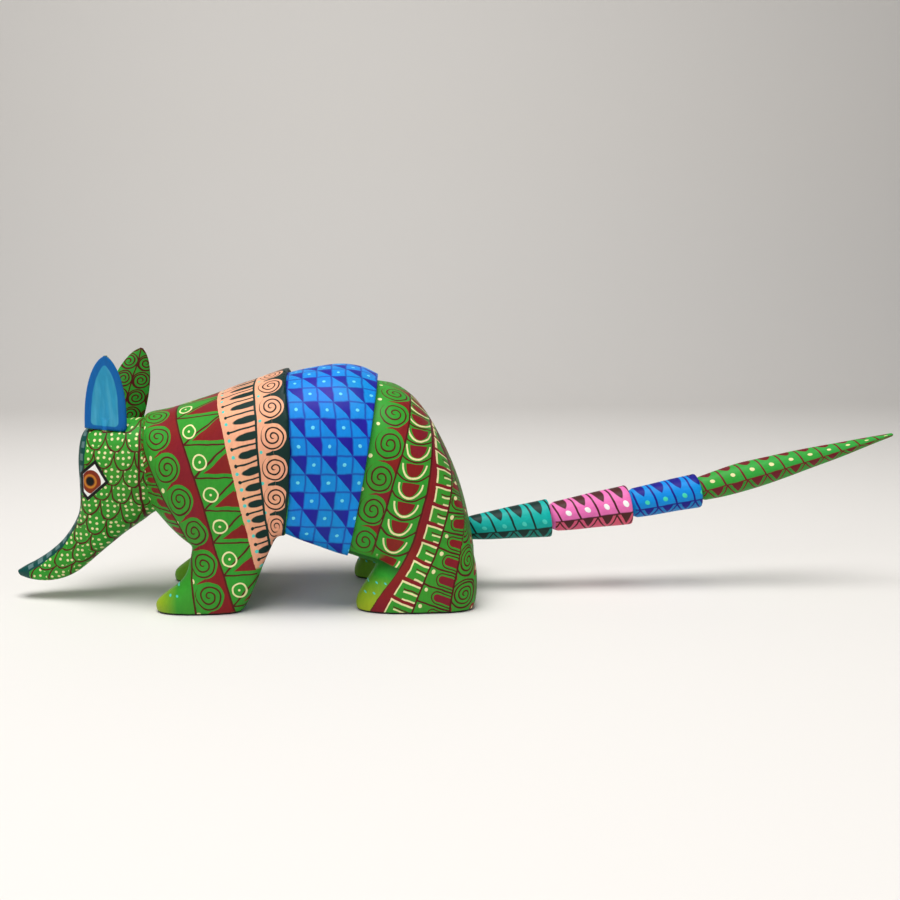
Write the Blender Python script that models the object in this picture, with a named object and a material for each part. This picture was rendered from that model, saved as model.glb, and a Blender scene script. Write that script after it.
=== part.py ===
"""A carved and painted wooden armadillo with push-in ears and a tail of four jointed links.

The body, head and legs are one block of wood. Each ear is a thin blade whose round tenon pushes
into the head. Each tail link has a round knob in front and a cup behind: the knob sits in the cup
ahead of it, and an upright pin through both lets the tail wag from side to side.

Metres, +Z up, the nose towards -X, the figure's left side towards -Y. The origin is on the ground
under the middle of the figure's whole length.
"""

import math

import bmesh
import bpy
from mathutils import Matrix, Vector

MM = 0.001

# ---- Driving dimensions -------------------------------------------------------------------------
BODY_LENGTH = 169.6 * MM  # nose tip to the back of the rump
BACK_HEIGHT = 86.7 * MM  # ground to the top of the shell
BODY_WIDTH = 70.0 * MM  # across the shell at its widest

EAR_HEIGHT = 27.0 * MM  # base to tip
EAR_WIDTH = 15.6 * MM
EAR_THICKNESS = 5.0 * MM
EAR_HOLLOW = 1.6 * MM  # how deep the outward face is scooped
EAR_TENON_RADIUS = 1.6 * MM
EAR_TENON_LENGTH = 9.0 * MM  # into the head
EAR_TENON_ROOT = 4.0 * MM  # how far the tenon's wood runs up inside the blade

TAIL_TIP_LENGTH = 83.3 * MM  # last pivot to the point
TAIL_PIVOT_DEPTH = 3.4 * MM  # how far each pivot lies inside the cup's rim
TAIL_PIN_RADIUS = 0.8 * MM
TAIL_CUP_WALL = 1.0 * MM  # wood left at a cup's rim
RIM_ROUNDING = 0.7 * MM

FIT_GAP = 0.3 * MM  # between pieces that touch
RUNNING_GAP = 0.08 * MM  # round a pin or a tenon in its hole
KNOB_GAP = 0.5 * MM  # round a knob in its cup
ROOT_PIN_ABOVE = 4.0 * MM  # how far the first pin runs into the wood above the first knob
ROOT_PIN_RECESS = 1.2 * MM  # how far its lower end stops inside the rump's underside
SOCKET_FLARE = 1.1 * MM  # how much wider the rump's socket is than the first link

# ---- The body block as it was drawn: millimetres, on a figure of these three sizes ----------------
DRAWN_LENGTH = 169.6
DRAWN_HEIGHT = 86.7
DRAWN_WIDTH = 70.0

# Rings of the shell, from the neck to the rump. Each ring is a slice that leans with the bands:
# x and z of its top, x and z of its bottom, half width, how much wider it is below than above,
# and how far its sides bow backwards.
SHELL_RINGS = (
    (-113.5, 66.6, -109.0, 34.0, 15.5, 0.00, 0.0),
    (-112.5, 68.4, -100.5, 26.5, 22.0, 0.10, 0.0),
    (-111.0, 69.3, -93.0, 21.5, 27.0, 0.12, 0.0),
    (-103.5, 70.8, -87.0, 20.0, 29.6, 0.10, 0.3),
    (-95.5, 73.3, -80.0, 21.0, 31.4, 0.06, 0.8),
    (-87.0, 76.0, -73.0, 23.0, 32.8, 0.03, 1.2),
    (-79.2, 79.0, -68.0, 24.4, 33.6, 0.00, 1.6),
    (-72.6, 81.2, -64.8, 25.0, 34.2, 0.00, 2.0),
    (-66.2, 83.5, -62.6, 25.2, 34.6, 0.00, 3.0),
    (-60.6, 85.5, -61.0, 25.0, 35.0, 0.00, 3.8),
    (-59.6, 83.6, -60.4, 25.5, 33.7, 0.00, 3.8),
    (-51.5, 85.4, -55.0, 23.2, 34.2, 0.00, 3.0),
    (-41.5, 86.7, -48.6, 20.8, 34.7, 0.00, 1.8),
    (-33.2, 85.7, -43.4, 18.8, 34.8, 0.00, 1.2),
    (-27.0, 82.8, -38.9, 17.4, 34.8, 0.00, 0.8),
    (-25.8, 80.2, -38.0, 18.0, 33.6, 0.00, 0.8),
    (-20.4, 79.0, -33.0, 16.2, 34.0, 0.00, 0.6),
    (-14.9, 75.4, -27.0, 14.8, 34.2, 0.00, 0.4),
    (-10.0, 70.0, -21.0, 14.0, 34.2, 0.00, 0.2),
    (-5.4, 62.6, -15.0, 13.5, 33.8, 0.00, 0.0),
    (-1.3, 54.4, -9.0, 13.2, 33.0, 0.00, 0.0),
    (2.1, 46.2, -3.8, 13.0, 31.8, 0.00, 0.0),
    (4.8, 37.4, 0.6, 13.0, 30.0, 0.00, 0.0),
    (6.6, 28.8, 4.0, 13.0, 27.4, 0.00, 0.0),
    (7.7, 21.9, 6.2, 13.0, 23.6, 0.00, 0.0),
)
SHELL_POWERS = (2.3, 4.0)  # roundness above and below: 2 is an ellipse, more is squarer

# Rings of the head, from inside the neck to the nose.
HEAD_RINGS = (
    (-100.5, 61.0, -100.5, 38.5, 11.0, 0.00, 0.0),
    (-106.5, 66.4, -105.0, 34.2, 15.6, 0.00, 0.0),
    (-115.0, 67.0, -110.5, 32.0, 16.8, 0.00, 0.0),
    (-123.8, 66.4, -114.4, 29.2, 17.0, 0.00, 0.0),
    (-130.4, 65.4, -118.2, 26.6, 16.6, 0.00, 0.0),
    (-134.6, 62.8, -122.0, 24.0, 15.8, 0.00, 0.0),
    (-136.2, 56.2, -125.5, 21.2, 15.0, 0.05, 0.0),
    (-136.0, 48.4, -129.0, 18.4, 13.8, 0.05, 0.0),
    (-135.8, 40.6, -132.6, 15.4, 12.2, 0.00, 0.0),
    (-137.2, 33.7, -136.1, 12.4, 10.4, 0.00, 0.0),
    (-140.4, 27.4, -139.4, 9.9, 9.0, 0.00, 0.0),
    (-144.6, 21.9, -143.2, 7.9, 7.8, 0.00, 0.0),
    (-149.6, 17.5, -147.5, 6.7, 6.7, 0.00, 0.0),
    (-154.8, 14.1, -152.0, 6.4, 5.5, 0.00, 0.0),
    (-158.9, 12.0, -156.6, 7.0, 4.1, 0.00, 0.0),
    (-161.6, 10.4, -160.2, 8.1, 2.2, 0.00, 0.0),
)
HEAD_POWERS = (2.5, 2.4)

# Slices of the legs, from the ground up: height, front x, back x, inner y, outer y.
FRONT_LEG_SLICES = (
    (0.0, -106.2, -76.0, 13.5, 30.6),
    (3.4, -105.4, -74.0, 13.6, 30.9),
    (6.6, -103.2, -72.6, 13.8, 31.1),
    (9.8, -100.0, -71.2, 14.0, 31.3),
    (13.2, -96.6, -69.8, 14.2, 31.6),
    (18.0, -94.4, -67.8, 14.2, 31.8),
    (24.0, -93.2, -65.0, 13.4, 31.6),
    (31.0, -91.5, -61.6, 12.0, 30.6),
    (42.0, -84.0, -62.0, 9.0, 26.0),
)
HIND_LEG_SLICES = (
    (0.0, -35.6, 6.6, 13.0, 34.4),
    (2.6, -35.7, 7.4, 13.0, 34.5),
    (6.0, -34.6, 7.9, 13.2, 34.5),
    (10.0, -32.0, 8.0, 13.4, 34.4),
    (14.0, -29.4, 7.8, 13.4, 34.2),
    (19.0, -26.4, 7.0, 12.4, 33.6),
    (26.0, -23.0, 4.8, 10.0, 32.0),
    (36.0, -19.0, 0.0, 7.0, 28.0),
)
TOE_POWERS = (2.3, 3.6)  # rounded toe, squarer heel
RIGHT_LEG_LEAD = 1.5  # the carver set both right feet a little ahead of the left ones

# The two ears were cut by eye. Each one's side, height, how far back its base stands and its lean.
EARS = (
    ("left", -1, EAR_HEIGHT, 0.0, math.radians(4)),
    ("right", 1, EAR_HEIGHT * 1.11, 0.9, math.radians(16)),
)
EAR_BASE = (-125.4, 8.8, 63.8)  # where an ear's base stands on the head, y to either side
EAR_SPLAY = math.radians(9)  # how far the tips lean outwards
EAR_TURN = math.radians(8)  # how far the hollows face forwards

# ---- The tail: drawn pivot of the first link, then each link ----------------------------------------
TAIL_ROOT = (2.9, 23.2)  # x and z, inside the rump
# Length between its two pivots, upward slope, radius behind the knob, radius at the rim.
TAIL_LINKS = (
    ("tail_link_1", 32.2 * MM, math.radians(6.6), 4.5 * MM, 7.3 * MM),
    ("tail_link_2", 31.2 * MM, math.radians(8.6), 5.6 * MM, 7.6 * MM),
    ("tail_link_3", 27.6 * MM, math.radians(10.6), 5.7 * MM, 6.6 * MM),
)
TAIL_TIP_SLOPE = math.radians(15.2)
TAIL_TIP_NECK_RADIUS = 4.7 * MM
TAIL_TIP_BULGE_RADIUS = 5.6 * MM
TAIL_TIP_BULGE_AT = 22.0 * MM  # how far behind its pivot the tip is thickest
TAIL_TIP_END_RADIUS = 0.6 * MM

SHELL_SEGMENTS = 32
HEAD_SEGMENTS = 24
LEG_SEGMENTS = 20
TURNED_SEGMENTS = 24
PIN_SEGMENTS = 12
EAR_ROWS = 10

GREEN = (0.09, 0.42, 0.09)
BLUE = (0.02, 0.30, 0.72)
TEAL = (0.02, 0.50, 0.46)
PINK = (0.75, 0.20, 0.45)
PIN_WOOD = (0.66, 0.50, 0.30)


# ---- Small helpers ----------------------------------------------------------------------------------
def clear_scene():
    for obj in list(bpy.data.objects):
        bpy.data.objects.remove(obj, do_unlink=True)


def paint(name, colour, roughness=0.55):
    material = bpy.data.materials.new(name)
    material.use_nodes = True
    shader = material.node_tree.nodes["Principled BSDF"]
    shader.inputs["Base Color"].default_value = (*colour, 1.0)
    shader.inputs["Roughness"].default_value = roughness
    shader.inputs["Metallic"].default_value = 0.0
    return material


def carved(x, y, z):
    """A drawn point of the body block at its real size."""
    return Vector(
        (
            x * BODY_LENGTH / DRAWN_LENGTH,
            y * BODY_WIDTH / DRAWN_WIDTH,
            z * BACK_HEIGHT / DRAWN_HEIGHT,
        )
    )


def signed_power(value, power):
    return math.copysign(abs(value) ** power, value)


def add_object(name, mesh_maker, material=None, parent=None, cutter=False):
    """A new object from a filled bmesh. A cutter is a helper that the figure doesn't contain."""
    mesh = bpy.data.meshes.new(name)
    mesh_maker.to_mesh(mesh)
    mesh_maker.free()
    obj = bpy.data.objects.new(name, mesh)
    bpy.context.scene.collection.objects.link(obj)
    if material:
        mesh.materials.append(material)
    mesh.shade_smooth()
    mesh.set_sharp_from_angle(angle=math.radians(35))
    obj.parent = parent
    if cutter:
        obj.hide_render = True
        obj.display_type = "WIRE"
    return obj


def combine(target, other, operation):
    modifier = target.modifiers.new(f"{operation.lower()}_{other.name}", "BOOLEAN")
    modifier.operation = operation
    modifier.solver = "EXACT"
    modifier.object = other


def loft(rings):
    """A closed skin over rings that all have the same number of points."""
    bm = bmesh.new()
    loops = [[bm.verts.new(point) for point in ring] for ring in rings]
    for first, second in zip(loops, loops[1:]):
        for i in range(len(first)):
            j = (i + 1) % len(first)
            bm.faces.new((first[i], first[j], second[j], second[i]))
    bm.faces.new(reversed(loops[0]))
    bm.faces.new(loops[-1])
    bmesh.ops.recalc_face_normals(bm, faces=bm.faces)
    return bm


def turned(profile, segments=TURNED_SEGMENTS):
    """A solid of revolution about local X from (x, radius) points. Both ends lie on the axis."""
    bm = bmesh.new()
    verts = [bm.verts.new((x, 0.0, radius)) for x, radius in profile]
    edges = [bm.edges.new(pair) for pair in zip(verts, verts[1:])]
    bmesh.ops.spin(
        bm,
        geom=verts + edges,
        cent=(0.0, 0.0, 0.0),
        axis=(1.0, 0.0, 0.0),
        angle=2 * math.pi,
        steps=segments,
        use_merge=True,
    )
    bmesh.ops.remove_doubles(bm, verts=bm.verts, dist=1e-6)
    bmesh.ops.recalc_face_normals(bm, faces=bm.faces)
    return bm


def round_pin(radius, length):
    """A plain pin along local Z, centred on its origin."""
    bm = bmesh.new()
    bmesh.ops.create_cone(
        bm,
        cap_ends=True,
        segments=PIN_SEGMENTS,
        radius1=radius,
        radius2=radius,
        depth=length,
    )
    return bm


# ---- Body block -------------------------------------------------------------------------------------
def leaning_ring(top_x, top_z, low_x, low_z, half_width, spread, bow, powers, segments):
    """One rounded slice of the shell or head. It stands between its top and bottom points."""
    points = []
    for k in range(segments):
        angle = 2 * math.pi * k / segments
        rise, side = math.cos(angle), math.sin(angle)
        power = 2 / powers[0 if rise > 0 else 1]
        rise, side = signed_power(rise, power), signed_power(side, power)
        x = (top_x + low_x) / 2 + (top_x - low_x) / 2 * rise + bow * (1 - rise**2)
        z = (top_z + low_z) / 2 + (top_z - low_z) / 2 * rise
        points.append(carved(x, half_width * side * (1 - spread * rise), z))
    return points


def leg_slice(height, front_x, back_x, inner_y, outer_y, side, lead):
    """One level slice of a leg, with a rounded toe in front and a squarer heel behind."""
    points = []
    for k in range(LEG_SEGMENTS):
        angle = 2 * math.pi * k / LEG_SEGMENTS
        along, across = math.cos(angle), math.sin(angle)
        power = 2 / TOE_POWERS[0 if along < 0 else 1]
        along, across = signed_power(along, power), signed_power(across, power)
        x = (front_x + back_x) / 2 + (back_x - front_x) / 2 * along - lead
        y = (inner_y + outer_y) / 2 + (outer_y - inner_y) / 2 * across
        points.append(carved(x, side * y, height))
    return points


def make_shell(material, origin):
    rings = [leaning_ring(*ring, SHELL_POWERS, SHELL_SEGMENTS) for ring in SHELL_RINGS]
    return add_object("body", loft(rings), material, origin)


def make_head(origin):
    rings = [leaning_ring(*ring, HEAD_POWERS, HEAD_SEGMENTS) for ring in HEAD_RINGS]
    return add_object("head_form", loft(rings), parent=origin, cutter=True)


def make_leg(name, slices, side, origin):
    lead = RIGHT_LEG_LEAD if side > 0 else 0.0
    rings = [leg_slice(*one, side, lead) for one in slices]
    return add_object(name, loft(rings), parent=origin, cutter=True)


def make_body(material, origin):
    """Shell, head and legs as one block."""
    body = make_shell(material, origin)
    combine(body, make_head(origin), "UNION")
    for label, side in (("left", -1), ("right", 1)):
        for place, slices in (("front", FRONT_LEG_SLICES), ("hind", HIND_LEG_SLICES)):
            leg = make_leg(f"{label}_{place}_leg_form", slices, side, origin)
            combine(body, leg, "UNION")
    return body


# ---- Ears -------------------------------------------------------------------------------------------
def ear_blade(ear_height):
    """A pointed leaf standing on local Z, scooped on its -Y face."""
    rows = []
    for r in range(EAR_ROWS + 1):
        t = r / EAR_ROWS
        z = ear_height * t
        half = EAR_WIDTH / 2 * max(0.02, 1 - t**2.6) ** 0.62
        thick = EAR_THICKNESS / 2 * (1 - 0.55 * t)
        scoop = EAR_HOLLOW * math.sin(math.pi * min(1.0, 0.12 + 0.88 * t)) ** 0.7
        rows.append(
            [
                (-half, 0.0, z),
                (-0.72 * half, -0.80 * thick, z),
                (-0.40 * half, -0.90 * thick + 0.8 * scoop, z),
                (0.0, -0.90 * thick + scoop, z),
                (0.40 * half, -0.90 * thick + 0.8 * scoop, z),
                (0.72 * half, -0.80 * thick, z),
                (half, 0.0, z),
                (0.74 * half, 0.72 * thick, z),
                (0.0, thick, z),
                (-0.74 * half, 0.72 * thick, z),
            ]
        )
    return loft([[Vector(point) for point in row] for row in rows])


def ear_matrix(side, set_back, lean):
    """Where an ear's base stands. Local -Y is its hollow face, which looks outwards."""
    x, y, z = EAR_BASE
    x += set_back
    turn = math.pi if side > 0 else 0.0
    forward = -EAR_TURN if side < 0 else EAR_TURN
    return (
        Matrix.Translation(carved(x, side * y, z))
        @ Matrix.Rotation(-side * EAR_SPLAY, 4, "X")
        @ Matrix.Rotation(lean, 4, "Y")
        @ Matrix.Rotation(turn + forward, 4, "Z")
    )


def make_ear(label, side, height, set_back, lean, body, material, origin):
    place = ear_matrix(side, set_back, lean)
    ear = add_object(f"ear_{label}", ear_blade(height), material, origin)
    tenon_shift = Matrix.Translation((0, 0, (EAR_TENON_ROOT - EAR_TENON_LENGTH) / 2))
    tenon = add_object(
        f"ear_tenon_{label}",
        round_pin(EAR_TENON_RADIUS, EAR_TENON_ROOT + EAR_TENON_LENGTH),
        parent=origin,
        cutter=True,
    )
    hole = add_object(
        f"ear_hole_{label}",
        round_pin(EAR_TENON_RADIUS + RUNNING_GAP, EAR_TENON_ROOT + EAR_TENON_LENGTH + 2 * FIT_GAP),
        parent=origin,
        cutter=True,
    )
    seat = add_object(f"ear_seat_{label}", ear_seat(), parent=origin, cutter=True)
    ear.matrix_local = seat.matrix_local = place
    tenon.matrix_local = hole.matrix_local = place @ tenon_shift
    combine(ear, tenon, "UNION")
    combine(body, hole, "DIFFERENCE")
    combine(body, seat, "DIFFERENCE")


def ear_seat():
    """A shallow flat cut in the head that the ear's base stands in."""
    bm = bmesh.new()
    bmesh.ops.create_cube(bm, size=1.0)
    width = EAR_WIDTH + 2 * FIT_GAP
    depth = EAR_THICKNESS + 2 * FIT_GAP
    height = 12.0 * MM
    bmesh.ops.scale(bm, vec=(width, depth, height), verts=bm.verts)
    bmesh.ops.translate(bm, vec=(0, 0, height / 2 - FIT_GAP), verts=bm.verts)
    return bm


# ---- Tail -------------------------------------------------------------------------------------------
def arc(centre_x, radius, start, end, steps):
    """Points of (x, radius) on a round knob or cup, between two angles from the +X direction."""
    return [
        (
            centre_x + radius * math.cos(start + (end - start) * k / steps),
            radius * math.sin(start + (end - start) * k / steps),
        )
        for k in range(steps + 1)
    ]


def knob_radius(front_radius):
    return front_radius - FIT_GAP


def knob_profile(front_radius):
    """The round knob, from its front pole to the neck, then out to the link's own surface."""
    radius = knob_radius(front_radius)
    round_part = arc(0.0, radius, math.pi, math.radians(52), 9)
    round_part[0] = (-radius, 0.0)
    neck_x = round_part[-1][0]
    return [*round_part, (neck_x + 1.2 * MM, front_radius - 0.7 * MM), (neck_x + 2.6 * MM, front_radius)]


def cup_profile(rim_x, rim_radius, next_front_radius):
    """The rounded rim and the cup behind it, ending on the axis at the cup's bottom."""
    cup_radius = knob_radius(next_front_radius) + KNOB_GAP
    pivot_x = rim_x - TAIL_PIVOT_DEPTH
    mouth = rim_radius - TAIL_CUP_WALL
    inside = arc(pivot_x, cup_radius, math.radians(80), math.pi, 7)
    inside[-1] = (pivot_x - cup_radius, 0.0)
    return [
        (rim_x - RIM_ROUNDING, rim_radius),
        (rim_x - 0.3 * RIM_ROUNDING, rim_radius - 0.3 * RIM_ROUNDING),
        (rim_x, mouth + 0.25 * MM),
        (rim_x - 0.2 * MM, mouth),
        *inside,
    ]


def link_profile(pitch, front_radius, rim_radius, next_front_radius):
    rim_x = pitch + TAIL_PIVOT_DEPTH
    return knob_profile(front_radius) + cup_profile(rim_x, rim_radius, next_front_radius)


def tip_profile():
    """The last link: a long bulging cone that ends in a blunt point."""
    knob = knob_profile(TAIL_TIP_NECK_RADIUS)
    start_x = knob[-1][0]
    swell = []
    for k in range(1, 4):
        t = k / 3
        x = start_x + (TAIL_TIP_BULGE_AT - start_x) * t
        rise = math.sin(t * math.pi / 2)
        radius = TAIL_TIP_NECK_RADIUS + (TAIL_TIP_BULGE_RADIUS - TAIL_TIP_NECK_RADIUS) * rise
        swell.append((x, radius))
    taper = []
    for k in range(1, 9):
        t = k / 8
        x = TAIL_TIP_BULGE_AT + (TAIL_TIP_LENGTH - TAIL_TIP_BULGE_AT) * t
        radius = TAIL_TIP_BULGE_RADIUS + (TAIL_TIP_END_RADIUS - TAIL_TIP_BULGE_RADIUS) * t**1.35
        taper.append((x, radius))
    taper[-1] = (TAIL_TIP_LENGTH - TAIL_TIP_END_RADIUS, TAIL_TIP_END_RADIUS)
    return [*knob, *swell, *taper, (TAIL_TIP_LENGTH, 0.0)]


def tail_chain():
    """Each link's name, pivot point, slope, length, front radius and rim radius. The tip comes last."""
    root = carved(TAIL_ROOT[0], 0.0, TAIL_ROOT[1])
    pivot = Vector((root.x, 0.0, root.z))
    chain = []
    for name, pitch, slope, front_radius, rim_radius in TAIL_LINKS:
        chain.append((name, pivot.copy(), slope, pitch, front_radius, rim_radius))
        pivot += Vector((math.cos(slope), 0.0, math.sin(slope))) * pitch
    chain.append(
        ("tail_tip", pivot.copy(), TAIL_TIP_SLOPE, TAIL_TIP_LENGTH, TAIL_TIP_NECK_RADIUS, None)
    )
    return chain


def link_matrix(pivot, slope):
    """Local X runs back along the link and local Z is its pin."""
    return Matrix.Translation(pivot) @ Matrix.Rotation(-slope, 4, "Y")


def upright_rod(name, pivot, low, high, radius, material, origin, cutter=False):
    """A rod that stands on the vertical through a pivot, from `low` below it to `high` above it."""
    rod = add_object(name, round_pin(radius, low + high), material, origin, cutter)
    rod.location = pivot + Vector((0.0, 0.0, (high - low) / 2))
    return rod


def make_pin(number, pivot, low, high, holes, material, origin):
    """An upright pin, and a hole for it in each owner that reaches the given depths."""
    upright_rod(f"tail_pin_{number}", pivot, low, high, TAIL_PIN_RADIUS, material, origin)
    for owner, hole_low, hole_high in holes:
        name = f"pin_hole_{number}_{owner.name}"
        radius = TAIL_PIN_RADIUS + RUNNING_GAP
        hole = upright_rod(name, pivot, hole_low, hole_high, radius, None, origin, cutter=True)
        combine(owner, hole, "DIFFERENCE")


def cut_root_cup(body, chain, origin):
    """The cup in the rump that takes the first link's knob, flared towards the outside."""
    _, pivot, slope, _, front_radius, _ = chain[0]
    radius = knob_radius(front_radius) + KNOB_GAP
    mouth = front_radius + SOCKET_FLARE
    out = 4 * TAIL_PIVOT_DEPTH  # well clear of the rump
    profile = [
        (-radius, 0.0),
        *arc(0.0, radius, math.radians(170), math.radians(85), 7),
        (TAIL_PIVOT_DEPTH, mouth),
        (out, mouth + SOCKET_FLARE / 2),
        (out, 0.0),
    ]
    cup = add_object("tail_root_cup", turned(profile), parent=origin, cutter=True)
    cup.matrix_local = link_matrix(pivot, slope)
    combine(body, cup, "DIFFERENCE")


def make_tail(body, materials, origin):
    chain = tail_chain()
    links = []
    for i, (name, pivot, slope, length, front_radius, rim_radius) in enumerate(chain):
        if rim_radius is None:
            profile = tip_profile()
        else:
            profile = link_profile(length, front_radius, rim_radius, chain[i + 1][4])
        link = add_object(name, turned(profile), materials[i], origin)
        link.matrix_local = link_matrix(pivot, slope)
        links.append(link)
    cut_root_cup(body, chain, origin)

    pin_wood = materials[-1]
    _, root, _, _, root_radius, _ = chain[0]
    underside = carved(0, 0, SHELL_RINGS[-1][3]).z
    above = root_radius + ROOT_PIN_ABOVE
    below = root.z - underside - ROOT_PIN_RECESS
    holes = ((body, root.z, above + FIT_GAP), (links[0], above, above))
    make_pin(1, root, below, above, holes, pin_wood, origin)
    for i in range(1, len(chain)):
        _, _, slope, pitch, front_radius, rim_radius = chain[i - 1]
        rim_share = pitch / (pitch + TAIL_PIVOT_DEPTH)
        surface = front_radius + (rim_radius - front_radius) * rim_share
        reach = surface / math.cos(slope) - FIT_GAP
        through = 1.5 * surface
        holes = ((links[i - 1], through, through), (links[i], through, through))
        make_pin(i + 1, chain[i][1], reach, reach, holes, pin_wood, origin)


def whole_length_middle():
    """x midway between the nose and the end of the tail, before the origin is set."""
    nose = carved(HEAD_RINGS[-1][0], 0, 0).x
    _, pivot, slope, length, _, _ = tail_chain()[-1]
    return (nose + pivot.x + length * math.cos(slope)) / 2


def main():
    clear_scene()
    origin = bpy.data.objects.new("figure_origin", None)
    bpy.context.scene.collection.objects.link(origin)
    origin.location.x = -whole_length_middle()

    green = paint("body_paint", GREEN)
    blue = paint("ear_paint", BLUE, 0.45)
    pin_wood = paint("pin_wood", PIN_WOOD, 0.6)
    tail_paints = [
        paint("tail_teal", TEAL),
        paint("tail_pink", PINK),
        paint("tail_blue", BLUE),
        paint("tail_green", GREEN),
        pin_wood,
    ]
    body = make_body(green, origin)
    for ear in EARS:
        make_ear(*ear, body, blue, origin)
    make_tail(body, tail_paints, origin)


main()
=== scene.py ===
# %% [markdown]
# # A carved and painted wooden armadillo
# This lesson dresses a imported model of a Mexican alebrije: a small armadillo whittled from soft
# copal wood and painted in bands of tiny brush patterns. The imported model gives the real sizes
# and joints, so it is loaded first and everything else is placed by it.

import math

import bmesh
import bpy
import numpy as np
from mathutils import Matrix, Vector, noise


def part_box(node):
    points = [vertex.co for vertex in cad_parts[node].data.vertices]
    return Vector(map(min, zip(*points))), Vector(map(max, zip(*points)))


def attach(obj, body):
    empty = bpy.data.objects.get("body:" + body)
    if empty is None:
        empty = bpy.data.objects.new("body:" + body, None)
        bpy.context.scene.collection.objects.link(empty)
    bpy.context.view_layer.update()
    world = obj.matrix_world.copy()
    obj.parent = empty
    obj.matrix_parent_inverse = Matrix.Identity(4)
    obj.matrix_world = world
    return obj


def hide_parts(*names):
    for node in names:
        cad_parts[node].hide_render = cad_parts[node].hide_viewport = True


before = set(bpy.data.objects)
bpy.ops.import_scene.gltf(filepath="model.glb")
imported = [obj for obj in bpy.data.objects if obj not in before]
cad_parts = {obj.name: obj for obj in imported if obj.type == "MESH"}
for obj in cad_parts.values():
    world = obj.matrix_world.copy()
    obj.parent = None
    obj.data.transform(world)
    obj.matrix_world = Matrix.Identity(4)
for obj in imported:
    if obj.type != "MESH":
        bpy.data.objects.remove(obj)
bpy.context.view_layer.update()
MM = 0.001

# %% [markdown]
# ## Camera, floor and light
# The figure is seen from its left side, from a little above and a little towards the nose, as
# one looks at a small thing on a table. A pale sheet curves up behind it, and three large soft
# lights keep the shadows gentle, so that the paint is easy to read.

# %% Camera
CAMERA_STAND = 0.400  # from the camera to the figure's middle plane
CAMERA_HEIGHT = 0.1073
CAMERA_TURN = math.radians(4.0)  # towards the nose
CAMERA_TILT = math.radians(7.6)  # downwards
LENS_MM = 42.56
AIM_X = -0.0058  # where on the figure's length the camera is centred

camera_data = bpy.data.cameras.new("camera")
camera_data.lens = LENS_MM
camera_data.sensor_width = 36.0
camera_data.clip_start = 0.01
camera = bpy.data.objects.new("camera", camera_data)
bpy.context.scene.collection.objects.link(camera)
camera.location = (
    AIM_X - CAMERA_STAND * math.sin(CAMERA_TURN),
    -CAMERA_STAND * math.cos(CAMERA_TURN),
    CAMERA_HEIGHT,
)
camera.rotation_euler = (math.pi / 2 - CAMERA_TILT, 0.0, -CAMERA_TURN)
bpy.context.scene.camera = camera
print("camera at", [round(v, 3) for v in camera.location])


# %% Floor sheet
def plain_material(name, colour, roughness):
    material = bpy.data.materials.new(name)
    material.use_nodes = True
    shader = material.node_tree.nodes["Principled BSDF"]
    shader.inputs["Base Color"].default_value = (*colour, 1.0)
    shader.inputs["Roughness"].default_value = roughness
    return material


SWEEP_RADIUS, SWEEP_STEPS = 0.35, 12
FLOOR_FRONT, FLOOR_BACK, WALL_HEIGHT, FLOOR_HALF = -1.6, 0.75, 1.5, 2.2


def floor_sheet():
    """A flat floor that turns up into a wall: one line of points pulled out sideways."""
    bm = bmesh.new()
    line = [(FLOOR_FRONT, 0.0)]
    for turn in np.linspace(0, math.pi / 2, SWEEP_STEPS + 1):
        line.append((FLOOR_BACK + SWEEP_RADIUS * math.sin(turn), SWEEP_RADIUS * (1 - math.cos(turn))))
    line.append((FLOOR_BACK + SWEEP_RADIUS, WALL_HEIGHT))
    verts = [bm.verts.new((-FLOOR_HALF, y, z)) for y, z in line]
    edges = [bm.edges.new(pair) for pair in zip(verts, verts[1:])]
    pulled = bmesh.ops.extrude_edge_only(bm, edges=edges)["geom"]
    ends = [v for v in pulled if isinstance(v, bmesh.types.BMVert)]
    bmesh.ops.translate(bm, vec=(2 * FLOOR_HALF, 0, 0), verts=ends)
    bmesh.ops.recalc_face_normals(bm, faces=bm.faces)
    mesh = bpy.data.meshes.new("floor")
    bm.to_mesh(mesh)
    bm.free()
    mesh.shade_smooth()
    return mesh


floor = bpy.data.objects.new("floor", floor_sheet())
bpy.context.scene.collection.objects.link(floor)
floor.data.materials.append(plain_material("pale_sheet", (0.80, 0.77, 0.73), 0.7))


# %% Lights
def soft_light(name, place, aim, size, watts):
    data = bpy.data.lights.new(name, "AREA")
    data.shape = "RECTANGLE"
    data.size, data.size_y = size
    data.energy = watts
    light = bpy.data.objects.new(name, data)
    bpy.context.scene.collection.objects.link(light)
    light.location = place
    light.rotation_euler = (Vector(aim) - Vector(place)).to_track_quat("-Z", "Y").to_euler()
    print(name, watts, "W")


MIDDLE = (0.0, 0.0, 0.04)
soft_light("overhead", (-0.15, -0.15, 1.1), MIDDLE, (0.85, 0.55), 13.2)
soft_light("front_window", (-0.6, -1.1, 0.6), MIDDLE, (0.9, 0.8), 4.4)
soft_light("right_fill", (1.0, -0.6, 0.5), MIDDLE, (0.7, 0.7), 1.5)
world = bpy.data.worlds.new("room")
world.use_nodes = True
air = world.node_tree.nodes["Background"]
air.inputs["Color"].default_value = (0.93, 0.95, 1.0, 1.0)
air.inputs["Strength"].default_value = 0.15
bpy.context.scene.world = world
# Standard keeps the paint as bright as it is mixed, where the default washes strong colours out.
bpy.context.scene.view_settings.view_transform = "Standard"

# %% [markdown]
# ## The carved form
# A carver roughs the armadillo out of one block, then cuts the shell into three steps that
# overlap like roof tiles. The form is drawn here as slices: every row gives the top and bottom
# of a slice, its half width, and how far its sides bow back. A grid is wrapped round the slices,
# because a grid already has the faces in the right order.

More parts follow.
